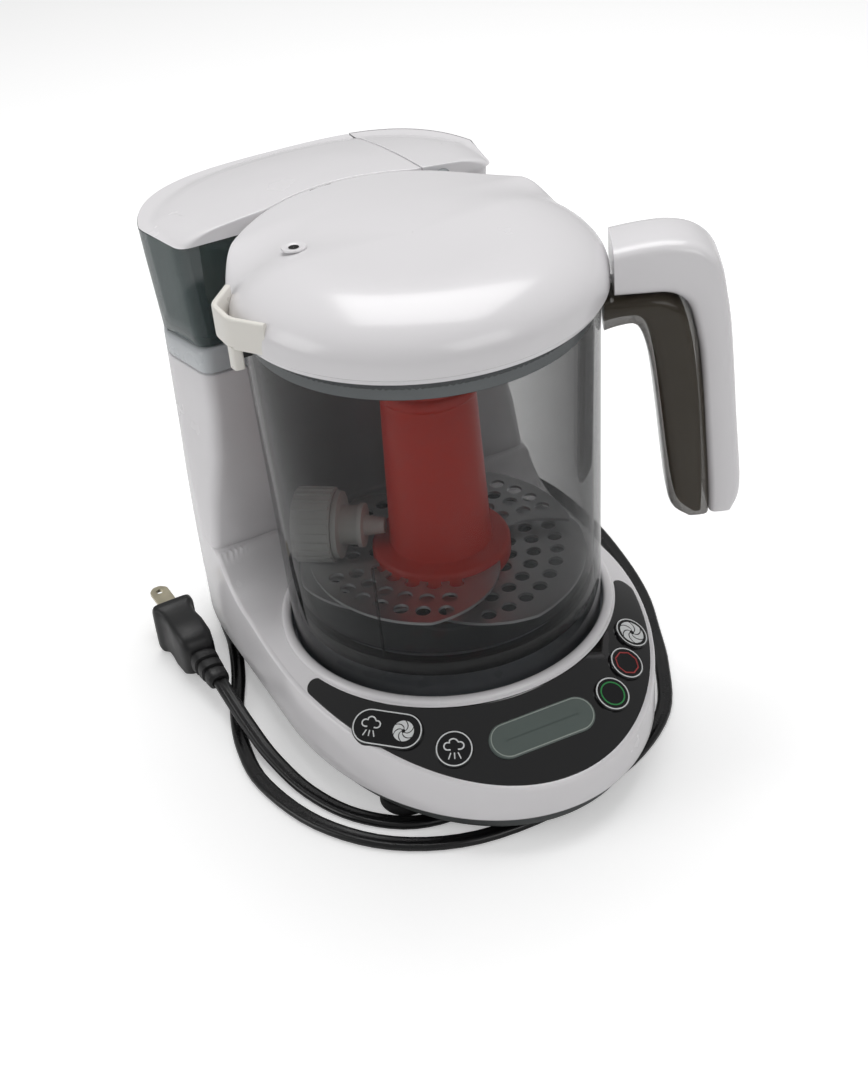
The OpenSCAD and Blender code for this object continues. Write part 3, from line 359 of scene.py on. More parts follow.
NODE_FINISHES = (
    (white_abs, "base_shell trim_ring tower_shell tower_head tower_cap tank_lid handle_cover lid_shell"),
    (pan_pp, "bottom_pan"), (foot_rubber, "feet"), (zinc, "base_screws boiler_bracket motor motor_mount"),
    (well_abs, "seat_well"), (panel_acrylic, "control_panel"), (window_grey, "display_window"),
    (lcd_grey, "lcd_module"), (circuit_board, "panel_board power_board"),
    (button_acrylic, "steam_blend_button steam_button start_button stop_button blend_button"),
    (band_abs, "tank_shelf"), (grey_nylon, "steam_nozzle tank_valve steam_inlet"),
    (silicone, "steam_tube water_tube lid_seal"), (cast_aluminium, "boiler"),
    (black_nylon, "motor_pulley drive_pulley drive_coupler seat_switch tank_seal bowl_collar"),
    (belt_rubber, "drive_belt"), (bronze, "bearing floor_bush"), (plug_pvc, "cord_gland plug_body"),
    (cord_pvc, "power_cord"), (blade_brass, "plug_blades"), (tank_clear, "tank_shell"), (smoky_clear, "bowl_jar"),
    (handle_clear, "handle_core"), (shaft_steel, "blade_driver"), (blade_steel, "lower_blade upper_blade"),
    (hub_red, "blade_hub"), (liner_grey, "lid_liner"), (warm_abs, "lid_tab"), (milky_pp, "pouch_cap pouch_adapter"),
)
for node_finish, node_names in NODE_FINISHES:
    for node_name in node_names.split():
        node_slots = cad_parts[node_name].data.materials
        node_slots.clear()
        node_slots.append(node_finish)

# ---------------------------------------------------------------- power cord, plug and strain relief
CORD_LOW = 1.8
CORD_PATH = [(0, 142, LEAD_Z), (0, 151, 8.8), (12, 166, 5)] + [(x, y, CORD_LOW) for x, y in (
    (38, 174), (70, 164), (92, 141), (105, 108), (107, 72), (103, 38), (96, 8), (86, -16), (76, -37), (60, -61),
    (34, -77), (2, -84), (-34, -82), (-62, -68), (-81, -44), (-90, -14), (-89, 10), (-83, 32), (-74, 53), (-67, 75),
    (-62, 98), (-46, 120), (-18, 133), (14, 136), (45, 128), (70, 105), (81, 73), (84, 38), (80, 6), (66, -20),
    (42, -31), (18, -40), (-6, -56), (-28, -66), (-50, -63), (-67, -48))
] + [(-77, -27, 1.9), (-82, -4, 3.8), (-84, 16, 7.4), (-85, 34, 11.4), (-85, 41, 11.8)]
CORD_WIDTH, CORD_HEIGHT = 6.0, 3.2
PLUG_WAY = Vector((*polar(1, radians(92)), 0))
PLUG_SIDE = Vector((-PLUG_WAY.y, PLUG_WAY.x, 0))


def twin_section(width, height):
    """Outline of a flat twin lead: two round cores side by side with a groove between them."""
    lobe, out = height / 2, []
    for side, start in ((1, -125), (-1, 55)):
        for k in range(12):
            x, y = polar(lobe, radians(start + 250 * k / 11))
            out.append((side * (width / 2 - lobe) + x, y))
    return out


def make_cord():
    path = smooth_path(CORD_PATH, 5)
    cord = carried("lead", path, twin_section(CORD_WIDTH, CORD_HEIGHT), "base", cord_pvc, (0, 1, 0), PLUG_WAY)
    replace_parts(cord, "power_cord")
    points = [at(*p) for p in path]
    length = sum((points[i + 1] - points[i]).length for i in range(len(points) - 1))
    return cord, points, length


def plug_place(along, side, up):
    """From the plug's own frame to the part's frame."""
    return at(*(Vector(CORD_PATH[-1]) + PLUG_WAY * along + PLUG_SIDE * side + Vector((0, 0, up))))


def oval_ring(width, height, corner):
    """Rounded rectangle as a superellipse; a greater corner number makes its corners squarer."""
    return [(width / 2 * power_of(cos(angle), 2 / corner), height / 2 * power_of(sin(angle), 2 / corner))
            for angle in full_turn(32)]


PIN_ROOT, PIN_SHOULDER, PIN_TIP, PIN_HOLE_AT, PIN_HOLE_R = 49.5, 65.5, 68, 64.0, 1.55
PIN_UP, PIN_HALF_THICK = 6.35, 0.75


def plug_pin(name, up, width):
    """Flat blade with a round hole: each face is a fan of strips from the hole to the outline."""
    half = width / 2
    outline = rounded([(PIN_ROOT, -half), (PIN_SHOULDER, -half), (PIN_TIP, -half + 2.4), (PIN_TIP, half - 2.4),
                       (PIN_SHOULDER, half), (PIN_ROOT, half)], 1.0, 3)
    hole = circle(PIN_HOLE_R, 24, PIN_HOLE_AT)
    verts = [plug_place(x, y, z) for z in (up - PIN_HALF_THICK, up + PIN_HALF_THICK) for x, y in outline + hole]
    n, m = len(outline), len(hole)

    def bearing_of(p):
        return atan2(p[1], p[0] - PIN_HOLE_AT)

    def nearest(p):
        return min(range(n), key=lambda j: abs((bearing_of(outline[j]) - bearing_of(p) + pi) % (2 * pi) - pi))

    near, faces = [nearest(p) for p in hole], []
    for base in (0, n + m):
        for k in range(m):
            chain = [near[k]]
            while chain[-1] != near[(k + 1) % m] and len(chain) < n:
                chain.append((chain[-1] + 1) % n)
            face = [base + j for j in chain] + [base + n + (k + 1) % m, base + n + k]
            faces.append(tuple(reversed(face) if base else face))
    faces += [(j, (j + 1) % n, n + m + (j + 1) % n, n + m + j) for j in range(n)]
    faces += [(n + k, n + m + n + k, n + m + n + (k + 1) % m, n + (k + 1) % m) for k in range(m)]
    return mesh_piece(name, verts, faces, "base", blade_brass)


def make_plug():
    stations = [(0.4, 7.0, 5.4, 2), (0.9, 8.0, 6.2, 2)]
    for i in range(3):
        start, w = 1.6 + i * 6.0, 8.8 + i * 1.1
        stations += [(start, w, w - 1.6, 3), (start + 3.4, w + 0.5, w - 0.9, 3), (start + 3.8, w - 1.6, w - 3.2, 3),
                     (start + 5.6, w - 1.3, w - 2.9, 3)]
    stations += [(19.8, 11.6, 12.2, 4), (21.4, 13.6, 16.5, 5), (25.0, 14.8, 20.4, 6.5), (33.0, 15.0, 21.6, 7),
                 (38.0, 14.2, 21.2, 7), (42.5, 14.2, 21.4, 7), (45.0, 15.6, 22.4, 7.5), (46.2, 17.4, 23.0, 8),
                 (47.2, 18.0, 23.2, 8), (49.2, 18.0, 23.2, 8), (49.8, 17.4, 22.6, 8), (50.0, 16.4, 21.6, 8)]
    rings = [[plug_place(along, *p) for p in oval_ring(*size)] for along, *size in stations]
    body = loft("plug_moulding", rings, "base", plug_pvc, caps=(True, True))
    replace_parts(body, "plug_body")
    pins = [plug_pin("plug_pin_wide", PIN_UP, 7.94), plug_pin("plug_pin_narrow", -PIN_UP, 6.35)]
    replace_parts(pins[0], "plug_blades")
    return [body] + pins


def make_gland():
    stations = [(119.7, 9.8, 4.8), (122.2, 9.8, 4.8), (122.4, 8.4, 3.4), (125.0, 8.4, 3.4), (125.2, 9.8, 4.8)]
    for i in range(4):
        start, w, h = 125.6 + i * 4.0, 9.8 - 0.3 * i, 4.8 - 0.2 * i
        stations += [(start, w, h), (start + 2.4, w, h), (start + 2.7, w - 1.8, h - 1.2),
                     (start + 3.8, w - 1.8, h - 1.2)]
    stations += [(141.6, 7.8, 3.6), (142.0, 7.2, 3.4)]
    rings = [[at(x, y, LEAD_Z + z) for x, z in oval_ring(width, height, 3.0)] for y, width, height in stations]
    gland = loft("strain_relief", rings, "base", plug_pvc, caps=(True, True), flip=True)
    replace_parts(gland, "cord_gland")


cord, cord_points, cord_length = make_cord()
plug_pieces = make_plug()
make_gland()


# ---------------------------------------------------------------- base: casing, pan, ring, panel
def outline_point(angle, inset):
    """Plan of the base at an angle: half an ellipse at the front, a fuller curve at the rear, drawn in by inset."""
    c, s = cos(angle), sin(angle)
    if s < 0:
        return (HALF_W - inset) * c, (FRONT_LEN - inset) * s
    return (HALF_W - inset) * power_of(c, REAR_POWER), SIDE_LEN + (REAR_LEN - inset) * s ** REAR_POWER


def outline_at(direction, inset):
    """Distance from the bowl's axis to the outline in a direction."""
    c, s = cos(direction), sin(direction)
    if s <= 0:
        return 1 / sqrt((c / (HALF_W - inset)) ** 2 + (s / (FRONT_LEN - inset)) ** 2)
    side = (HALF_W - inset) / abs(c) if abs(c) > 1e-6 else 1e6
    if side * s <= SIDE_LEN:
        return side
    low, high = SIDE_LEN / s, (SIDE_LEN + REAR_LEN) / s
    for _ in range(30):
        r = (low + high) / 2
        full = abs(r * c / (HALF_W - inset)) ** REAR_FULL + ((r * s - SIDE_LEN) / (REAR_LEN - inset)) ** REAR_FULL
        low, high = (r, high) if full < 1 else (low, r)
    return low


# The sweep's radius, where it starts, how far it runs, and where the cone blends into it
SWEEP_R, SWEEP_FROM, SWEEP_REACH = 26.0, 34.0, 23.5
BLEND_FROM, BLEND_OVER = 2.0, 32.0


def deck_height(x, y):
    """Top of the casing: a cone that falls to the front, and a sweep up to the tower at the rear."""
    cone = DECK_Z - max(0.0, hypot(x, y) - RING_R) * SLOPE
    reach = min(max(y - SWEEP_FROM, 0.0), SWEEP_REACH)
    swept = DECK_Z + SWEEP_R - sqrt(SWEEP_R ** 2 - reach ** 2)
    blend = smoothstep((y - BLEND_FROM) / BLEND_OVER)
    return cone * (1 - blend) + swept * blend


def make_casing():
    count, steps, edge, low = 360, 34, 1.6, 13.0
    angles = full_turn(count)
    far = [outline_at(a, 0.1) for a in angles]

    def ring(radius, height):
        return [at(*polar(radius(k), a), height(k)) for k, a in enumerate(angles)]

    def deck(k, r):
        return deck_height(*polar(r, angles[k]))

    def slope(k, t):
        return RING_R + (far[k] - edge - RING_R) * t

    rings = [turned(RING_R - 2, DECK_Z - 3, angles), turned(RING_R - 0.2, DECK_Z - 0.3, angles)]
    for i in range(steps + 1):
        rings.append(ring(lambda k: slope(k, i / steps), lambda k: deck(k, slope(k, i / steps))))
    for i in range(1, 9):
        a = pi / 2 * i / 8
        rings.append(ring(lambda k: far[k] - edge + edge * sin(a),
                          lambda k: deck(k, far[k] - edge) - edge * (1 - cos(a))))
    for t in (0.35, 0.75):
        rings.append(ring(lambda k: far[k], lambda k: (deck(k, far[k] - edge) - edge) * (1 - t) + (low + 1.2) * t))
    for inset, rise in ((0.0, 1.2), (0.25, 0.5), (0.8, 0.1), (2.2, 0), (2.4, 1), (2.4, 6)):
        rings.append(ring(lambda k: far[k] - inset, lambda k: low + rise))
    casing = loft("base_casing", rings, "base", white_abs, flip=True)
    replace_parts(casing, "base_shell")


def make_pan():
    angles, middle_y, vent_half = full_turn(200), 16, 17.0
    rings = [level([outline_point(a, inset) for a in angles], z) for inset, z in (
        (14, 6.2), (14, 4.5), (7.4, 4.5), (6.3, 4.8), (5.4, 5.9), (5.1, 7.2), (5.0, 11.2), (5.0, 12.4),
        (3.2, 12.5), (2.7, 12.5), (2.7, 13.2), (7.0, 13.2), (7.0, 6.4), (14, 6.2))]
    pan = loft("pan_moulding", rings, "base", pan_pp)
    edge = [outline_point(a, 13) for a in angles]
    floor = [level([(x * share, middle_y + (y - middle_y) * share) for x, y in edge], 4.7)
             for share in (1.0, 0.66, 0.33, 0.02)]
    loft("pan_floor", floor, "base", pan_pp, flip=True)
    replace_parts(pan, "bottom_pan")
    for i in range(11):
        y = 30 + i * 5.5
        slot = rounded([(-vent_half, y - 1.1), (vent_half, y - 1.1), (vent_half, y + 1.1), (-vent_half, y + 1.1)],
                       1.0, 4, True)
        deep = [(px * 0.98, y + (py - y) * 0.6) for px, py in slot]
        loft("pan_vent_%02d" % i, [level(slot, 4.62), level(deep, 4.55)], "base", dark_hole, caps=(False, True),
             flip=True)


def make_feet():
    foot_x, front_y, rear_y = HALF_W - 26, -FRONT_LEN * 0.49, SIDE_LEN + REAR_LEN * 0.5
    places = [(-foot_x, front_y), (foot_x, front_y), (-foot_x + 4, rear_y), (foot_x - 4, rear_y)]
    profile = [(3.6, 3.6), (3.6, 0.6), (4.2, 0.2), (6.2, 0.0), (6.6, 0.35), (7.0, 0.35), (7.4, 0.0), (8.6, 0.0),
               (9.0, 0.35), (9.3, 0.35), (9.6, 0.1), (10.0, 0.3), (10.4, 0.9), (10.3, 3.4), (9.9, 4.5), (2.4, 4.5)]
    feet = [lathe("rubber_foot_%d" % (i + 1), profile, "base", foot_rubber, 48, lambda x, y, z: at(fx + x, fy + y, z))
            for i, (fx, fy) in enumerate(places)]
    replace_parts(feet[0], "feet")


def make_ring():
    profile = [(3.95, -0.6), (3.95, 0.2), (3.7, 0.95), (3.1, 1.5), (2.2, 1.75), (1.1, 1.7), (0.4, 1.35), (0.05, 0.7),
               (0.02, -0.4)]
    ring = lathe("seat_ring", [(WELL_R + r, DECK_Z + z) for r, z in profile], "base", white_abs, 180)
    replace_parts(ring, "trim_ring")
    well = [(13.6, 30.2), (13.6, 37.0), (60.0, 37.0), (62.6, 37.4), (63.3, 38.4), (63.3, 44.9), (61.0, 45.0),
            (61.0, 41.2), (60.2, 40.0), (58.6, 39.75), (15.0, 39.7), (14.2, 40.6), (11.6, 40.6), (11.05, 40.0),
            (11.05, 30.2)]
    seat = lathe("seat_moulding", well, "base", well_abs, 160, closed=True)
    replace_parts(seat, "seat_well")


def panel_place(direction, radius):
    """On the sloping panel: u down the slope, v to the right, w out of its face."""
    a = radians(direction)
    centre = Vector((*polar(radius, a), DECK_Z - (radius - RING_R) * SLOPE))
    u_way = Vector((*polar(cos(SLOPE_ANGLE), a), -sin(SLOPE_ANGLE)))
    v_way = Vector((-sin(a), cos(a), 0))
    w_way = Vector((*polar(sin(SLOPE_ANGLE), a), cos(SLOPE_ANGLE)))
    return lambda u, v, w: at(*(centre + u_way * u + v_way * v + w_way * w))


def make_panel():
    first, last, count = radians(-166.5), radians(-22.2), 260
    crown = [(-1.0, -0.9), (-1.0, -0.05), (-0.985, 0.05), (-0.95, 0.09), (-0.6, 0.11), (0, 0.12), (0.6, 0.11),
             (0.95, 0.09), (0.985, 0.05), (1.0, -0.05), (1.0, -0.9)]
    rings = []
    for k in range(count):
        a = first + (last - first) * (0.5 - 0.5 * cos(pi * k / (count - 1)))
        inner, outer = RING_R + 0.55, outline_at(a, 1.8)
        mid, half = (inner + outer) / 2, (outer - inner) / 2
        near = min(1.0, (a - first) / radians(2.5), (last - a) / radians(3.1))
        half = max(half * sqrt(max(0.0, 1 - (1 - near) ** 2)), 0.05)
        across = [(polar(mid + half * side, a), w) for side, w in crown]
        rings.append([at(x, y, deck_height(x, y) + w) for (x, y), w in across])
    panel = loft("panel_cover", rings, "base", panel_acrylic, closed=False, flip=True)
    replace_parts(panel, "control_panel")


def capsule_points(length, width):
    """Outline of a capsule in (u, v), long way along v."""
    return [(width / 2 * cos(start + pi * k / 20), side * (length - width) / 2 + width / 2 * sin(start + pi * k / 20))
            for side, start in ((1, 0), (-1, pi)) for k in range(21)]


def cap_piece(name, place, outline, levels, body, material):
    """Pillow-topped cap: levels are (inset, height) from its skirt to its middle."""
    rings, straight = [], max(v for _, v in outline) - max(u for u, _ in outline)
    for inset, w in levels:
        ring = []
        for u, v in outline:
            dv = v - max(-straight, min(straight, v))
            n = hypot(u, dv) or 1.0
            ring.append(place(u - u / n * inset, v - dv / n * inset, w))
        rings.append(ring)
    return loft(name, rings, body, material, caps=(False, True))


# A button's top above the panel, the ink's thickness on it, and how far the ink reaches into the face
BUTTON_TOP, INK_THICK, INK_BITE = 1.15, 0.1, 0.02


def ink_line(name, place, points, width, body, material, closed=False, low=BUTTON_TOP):
    """Printed line, a hair proud of the face it is printed on."""
    count, rings = len(points), []
    for i, (u, v) in enumerate(points):
        a = points[i - 1] if closed or i else points[i]
        b = points[(i + 1) % count] if closed or i < count - 1 else points[i]
        d = Vector((b[0] - a[0], b[1] - a[1]))
        d = d.normalized() if d.length > 1e-9 else Vector((1, 0))
        n = Vector((-d.y, d.x)) * width / 2
        foot, top = low - INK_BITE, low + INK_THICK
        rings.append([place(u + side * n.x, v + side * n.y, w)
                      for side, w in ((1, foot), (1, top), (-1, top), (-1, foot))])
    faces = grid_faces(count, 4, closed, True)
    if not closed:
        faces += [(3, 2, 1, 0), tuple(4 * count - k for k in (4, 3, 2, 1))]
    return mesh_piece(name, [p for ring in rings for p in ring], faces, body, material)


def ink_patch(name, place, points, body, material):
    """Printed patch, a hair proud of the face it is printed on."""
    n = len(points)
    verts = [place(u, v, w) for w in (BUTTON_TOP - INK_BITE, BUTTON_TOP + INK_THICK) for u, v in points]
    faces = [tuple(range(n, 2 * n))] + [(i, (i + 1) % n, n + (i + 1) % n, n + i) for i in range(n)]
    return mesh_piece(name, verts, faces, body, material)


def cloud_outline(size, u0, v0):
    """Three-lobed cloud with an open foot; up is -u."""
    out = [(u0 + size * 0.38, v0 - size * 0.36)]
    lobes = ((0.0, -0.62, 0.38, 90, 300), (-0.28, -0.05, 0.46, 215, 325), (0.0, 0.6, 0.38, 250, 450))
    for cu, cv, r, a0, a1 in lobes:
        for k in range(12):
            a = radians(a0 + (a1 - a0) * k / 11)
            out.append((u0 + size * (cu + r * sin(a)), v0 + size * (cv + r * cos(a))))
    return out + [(u0 + size * 0.38, v0 + size * 0.36)]


def steam_lines(name, place, u0, v0, size, body):
    """Three short lines that fan out under the cloud."""
    for i, lean in enumerate((-1, 0, 1)):
        line = [(u0, v0 + lean * size * 0.42), (u0 + size * 0.75, v0 + lean * size * 0.72)]
        ink_line("%s_line_%d" % (name, i + 1), place, line, 0.42, body, ink_white)


def swirl(name, place, radius, v0, body):
    """Round fan sign: wide curved blades with thin gaps between them, about a dark middle."""
    blades, hub, lean, root, widen = 6, 0.2, 1.1, 0.7, 0.17
    step = 2 * pi / blades

    def spot(r, a):
        return r * cos(a), v0 + r * sin(a)

    for k in range(blades):
        reach = [(t, radius * (hub + (1 - hub) * t), step * k + lean * t) for t in (i / 8 for i in range(9))]
        edge_a = [spot(r, a) for _, r, a in reach]
        edge_b = [spot(r, a + step * (root + widen * t)) for t, r, a in reach]
        arc = [spot(radius, step * k + lean + step * (root + widen) * j / 7) for j in range(1, 7)]
        ink_patch("%s_blade_%d" % (name, k + 1), place, edge_a + arc + edge_b[::-1], body, ink_white)


def make_buttons():
    levels = [(0.0, -2.2), (0.0, 0.7), (0.12, 0.95), (0.4, 1.1)] + [(inset, BUTTON_TOP) for inset in (0.9, 1.6, 6.0)]
    long_body, sign_v = "steam_blend_button", 6.2
    spot = panel_place(-135, 73.8)
    cap = cap_piece("steam_blend_cap", spot, capsule_points(27.0, 14.0), levels, long_body, button_acrylic)
    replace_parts(cap, long_body)
    ink_line("steam_blend_ring", spot, capsule_points(25.6, 12.6), 0.45, long_body, ink_white, True)
    ink_line("steam_blend_cloud", spot, cloud_outline(3.5, -1.0, -sign_v), 0.5, long_body, ink_white)
    steam_lines("steam_blend", spot, 1.5, -sign_v, 3.0, long_body)
    swirl("steam_blend_swirl", spot, 3.9, sign_v, long_body)
    for kind, direction, radius in (("steam", -116.5, 79.5), ("start", -70, 80.5), ("stop", -58.6, 77),
                                    ("blend", -47, 73.5)):
        body, name, spot = kind + "_button", kind + "_cap", panel_place(direction, radius)
        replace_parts(cap_piece(name, spot, capsule_points(14.01, 14.0), levels, body, button_acrylic), body)
        ink_line(name + "_ring", spot, circle(6.3, 56), 0.45, body, ink_white, True)
        if kind == "steam":
            ink_line("steam_cloud", spot, cloud_outline(3.6, -1.0, 0.0), 0.5, body, ink_white)
            steam_lines("steam", spot, 1.5, 0.0, 3.1, body)
        elif kind == "start":
            ink_line("start_sign", spot, circle(4.6, 44), 0.55, body, ink_green, True)
        elif kind == "stop":
            sign = [polar(4.7, radians(22.5 + 45 * k)) for k in range(8)]
            ink_line("stop_sign", spot, sign, 0.55, body, ink_red, True)
        else:
            swirl("blend_swirl", spot, 4.95, 0.0, body)
    spot = panel_place(-92.5, 78.5)
    lens = [(0.0, -2.0), (0.0, 0.1), (0.15, 0.32), (0.5, 0.42), (1.2, 0.45), (6.9, 0.45)]
    window = cap_piece("display_lens", spot, capsule_points(41.6, 13.6), lens, "base", window_grey)
    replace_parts(window, "display_window")
    ink_line("display_edge", spot, capsule_points(40.2, 12.2), 0.35, "base", edge_grey, True, 0.42)


make_casing()
make_pan()
make_feet()
make_ring()
make_panel()
make_buttons()


# ---------------------------------------------------------------- tower, band, tank, head and caps
def tower_chains(inset, left_x, right_x, front_in=None, cut=1.0):
    """Front and rear edge of the tower's plan between two uprights; None keeps its own side, the corner cut off."""
    corner, count, fullness = 12.5, 26, 1 / REAR_POWER
    cut_in, knee_r = 7.5 * cut, 5.0
    a, b = HALF_W - inset, REAR_LEN - inset
    front_in = max(0.0, inset - 2.0) if front_in is None else front_in
    front_y, scoop, side_y = TOWER_Y + front_in + 1.0, SCOOP_R + front_in, 71.0 + 15.0 * cut
    side_angle = asin(((side_y - SIDE_LEN) / b) ** fullness)
    side_x = a * cos(side_angle)
    corner_x = a * cos(asin((front_y + 0.01 - SIDE_LEN) / b))

    def bend(side):
        out = []
        start, knee = Vector((side_x, side_y)), Vector((corner_x - cut_in, front_y))
        near, after = knee + (start - knee).normalized() * knee_r, knee + Vector((-knee_r, 0))
        for k in range(11):
            t = (k - 4) / 6
            p = start.lerp(near, k / 4) if k < 4 else near * (1 - t) ** 2 + knee * 2 * t * (1 - t) + after * t * t
            out.append((side * p.x, p.y))
        return out

    def rear_angle(x, own):
        return own if x is None else acos(power_of(x / a, fullness))

    x0 = -(corner_x - corner) if left_x is None else left_x
    x1 = corner_x - corner if right_x is None else right_x
    across = [x0 + (x1 - x0) * k / count for k in range(count + 1)]
    front = [(x, max(front_y, sqrt(max(0.0, scoop ** 2 - x ** 2)))) for x in across]
    front = (bend(-1)[:-1] if left_x is None else []) + front + (bend(1)[-2::-1] if right_x is None else [])
    a0, a1 = rear_angle(left_x, pi - side_angle), rear_angle(right_x, side_angle)
    angles = [a0 + (a1 - a0) * k / (len(front) - 1) for k in range(len(front))]
    return front, [(a * power_of(cos(t), REAR_POWER), SIDE_LEN + b * abs(sin(t)) ** REAR_POWER) for t in angles]


def around(front, rear, seam_left, seam_right):
    """Closed ring from the two edges, with points along a seam where one is."""
    def seam(p, q):
        return [tuple(Vector(p).lerp(Vector(q), k / 8)) for k in range(1, 8)]

    ring = front + seam(front[-1], rear[-1]) + rear[::-1] if seam_right else front + rear[-2::-1]
    return ring + seam(rear[0], front[0]) if seam_left else ring[:-1]


def tower_ring(z, inset, left_x=None, right_x=None, **plan):
    """Level ring of the tower's plan."""
    return level(around(*tower_chains(inset, left_x, right_x, **plan), left_x is not None, right_x is not None), z)


def rows_between(front, rear, count, height):
    """Rows of points from the front edge to the rear edge."""
    rows = [[(p[0] + (q[0] - p[0]) * k / count, p[1] + (q[1] - p[1]) * k / count) for p, q in zip(front, rear)]
            for k in range(count + 1)]
    return [[at(x, y, height(x, y)) for x, y in row] for row in rows]


DOME_R, DOME_TOP, DOME_Y = 420.0, 196.0, 50.0


def dome(x, y, drop=0.0):
    """Height of the shallow dome that the caps share with the rear of the lid."""
    return DOME_TOP - DOME_R + sqrt(DOME_R ** 2 - x * x - (y - DOME_Y) ** 2) - drop


def make_tower():
    casing = loft("tower_casing", [tower_ring(z, inset, cut=smoothstep((z - 58) / 60)) for inset, z in (
        (0.0, 34), (0.0, 48), (0.1, 62), (0.5, 80), (1.2, 100), (1.7, 120), (2.05, 134.2), (2.4, 135.2), (3.2, 135.6),
        (8, 135.6))], "base", white_abs, flip=True)
    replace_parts(casing, "tower_shell")
    shelf = loft("tank_band", [tower_ring(z, inset) for inset, z in (
        (8, 136.0), (3.0, 136.0), (2.4, 136.3), (2.15, 137.0), (2.3, 143.4), (2.7, 144.8), (3.6, 145.6), (5.6, 145.9),
        (9, 145.9))], "base", band_abs, flip=True)
    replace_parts(shelf, "tank_shelf")


def side_inset(z):
    """How far the tank and the head stand in from the plan: they lean out a little as they rise."""
    low, rise, foot, lean = 147.0, 38.0, 2.6, 2.4
    return foot - lean * max(0.0, min(1.0, (z - low) / rise))


def make_head():
    head = loft("head_casing", [tower_ring(z, side_inset(z), HEAD_X, front_in=2.2) for z in (
        146.0, 147, 156, 166, 176, 187.0, 188.2)], "base", white_abs, flip=True)
    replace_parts(head, "tower_head")


def make_cap(name, left_x, right_x, body, node):
    """Domed white cap: broad round edge at the sides and the rear, crisp edge at the scoop and the seam."""
    rings, wide, deep, sharp = [], 13.0, 4.2, 0.5
    for k in range(-1, 11):
        a = pi / 2 * max(k, 0) / 10
        inset, drop = wide * (1 - cos(a)), deep * (1 - sin(a))
        crisp = sharp * (1 - sqrt(max(0.0, 1 - max(0.0, 1 - drop / sharp) ** 2)))
        front, rear = tower_chains(side_inset(185) + 0.2 + inset, None if left_x is None else left_x + crisp,
                                   None if right_x is None else right_x - crisp, front_in=-1.0 + crisp)
        rings.append([at(x, y, CAP_Z if k < 0 else max(CAP_Z, dome(x, y, drop)))
                      for x, y in around(front, rear, left_x is not None, right_x is not None)])
    casing = loft(name, rings, body, white_abs, flip=True)
    loft(name + "_top", rows_between(front, rear, 12, dome), body, white_abs, closed=False)
    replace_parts(casing, node)


def make_tank():
    levels, foot_in, front_in = (TANK_LOW, 147.2, 156, 166, 176, 187.6), 0.8, 2.4
    rings = [tower_ring(z, side_inset(z) + (foot_in if z == TANK_LOW else 0), None, TANK_X, front_in=front_in)
             for z in levels]
    rings += [tower_ring(max(z, TANK_FLOOR), side_inset(z) + TANK_WALL, None, TANK_X - TANK_WALL,
                         front_in=front_in + TANK_WALL) for z in reversed(levels[1:])]
    tank = loft("tank_body", rings, "tank", tank_clear, flip=True)
    for name, z, drawn_in, wall in (("tank_floor_low", TANK_LOW, side_inset(TANK_LOW) + foot_in, 0),
                                    ("tank_floor_top", TANK_FLOOR, side_inset(TANK_FLOOR) + TANK_WALL, TANK_WALL)):
        edges = tower_chains(drawn_in, None, TANK_X - wall, front_in=front_in + wall)
        loft(name, rows_between(*edges, 6, lambda x, y: z), "tank", tank_clear, closed=False, flip=not wall)
    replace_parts(tank, "tank_shell")
    # An olive block inside the tank, seen dimly through its wall
    core = []
    for z, grow in ((148.8, -0.8), (149.4, 0), (165, 0), (178.5, -0.3), (180.2, -1.0), (180.8, -2.4)):
        left, right, rear = -50.5 - grow, -26 + grow, 84 + grow
        corners = [(left, 69.5 - grow), (right, 71.5 - grow), (right, rear), (left, rear)]
        core.append(level(rounded(corners, 3.0, 4, True), z))
    loft("olive_tank_block", core, "tank", tank_olive, caps=(True, True), flip=True)


make_tower()
make_head()
make_tank()
make_cap("head_cap", HEAD_X, None, "base", "tower_cap")
make_cap("tank_cap", None, SEAM_X - 0.35, "tank_lid", "tank_lid")


# ---------------------------------------------------------------- bowl, handle, hub
# The handle's direction from the bowl's axis, and the bowl's wall
SWING, BOWL_WALL = radians(-28), 2.6


def bowl_radius(z):
    """The bowl's outside widens by 3 mm from its foot to its rim."""
    return 60.0 + 3.0 * (z - 40.0) / 142.0


def at_angle(angle, reach, side, z):
    """Reach from the bowl's axis at an angle, and a step to the side of it."""
    c, s = cos(angle), sin(angle)
    return at(reach * c - side * s, reach * s + side * c, z)


def make_bowl():
    profile = [(57.4, 40.6), (58.0, 40.05), (59.4, 40.05)]
    profile += [(bowl_radius(z), z) for z in (41.0, 44, 60, 90, 120, 150, 176, 181.0)]
    profile += [(62.7, 181.7), (61.9, 182.0), (60.9, 181.7), (60.5, 181.0)]
    profile += [(bowl_radius(z) - BOWL_WALL, z) for z in (176, 150, 120, 90, 66.0)]
    profile += [(57.2, 63.0), (55.6, 61.4), (53.0, 61.0), (30.0, 61.0), (7.05, 61.0), (7.05, 58.5), (30.0, 58.5),
                (55.0, 58.5), (57.0, 57.8), (57.6, 56.0)]
    jar = lathe("bowl_glass", profile, "bowl", smoky_clear, 192, closed=True)
    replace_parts(jar, "bowl_jar")
    rib = [[at_angle(radians(-138.5), bowl_radius(z) + out, side, z)
            for out, side in ((-0.3, -0.45), (0.25, -0.4), (0.25, 0.4), (-0.3, 0.45))] for z in (62.5, 101.5)]
    loft("bowl_rib", rib, "bowl", smoky_clear, caps=(True, True))
    band = [(52.9, 58.2), (52.4, 57.6), (52.4, 53.2), (53.0, 52.5), (57.2, 52.5), (57.7, 53.2), (57.7, 57.6),
            (57.2, 58.3)]
    collar = lathe("bowl_band", band, "bowl", black_nylon, 160, closed=True)
    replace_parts(collar, "bowl_collar")


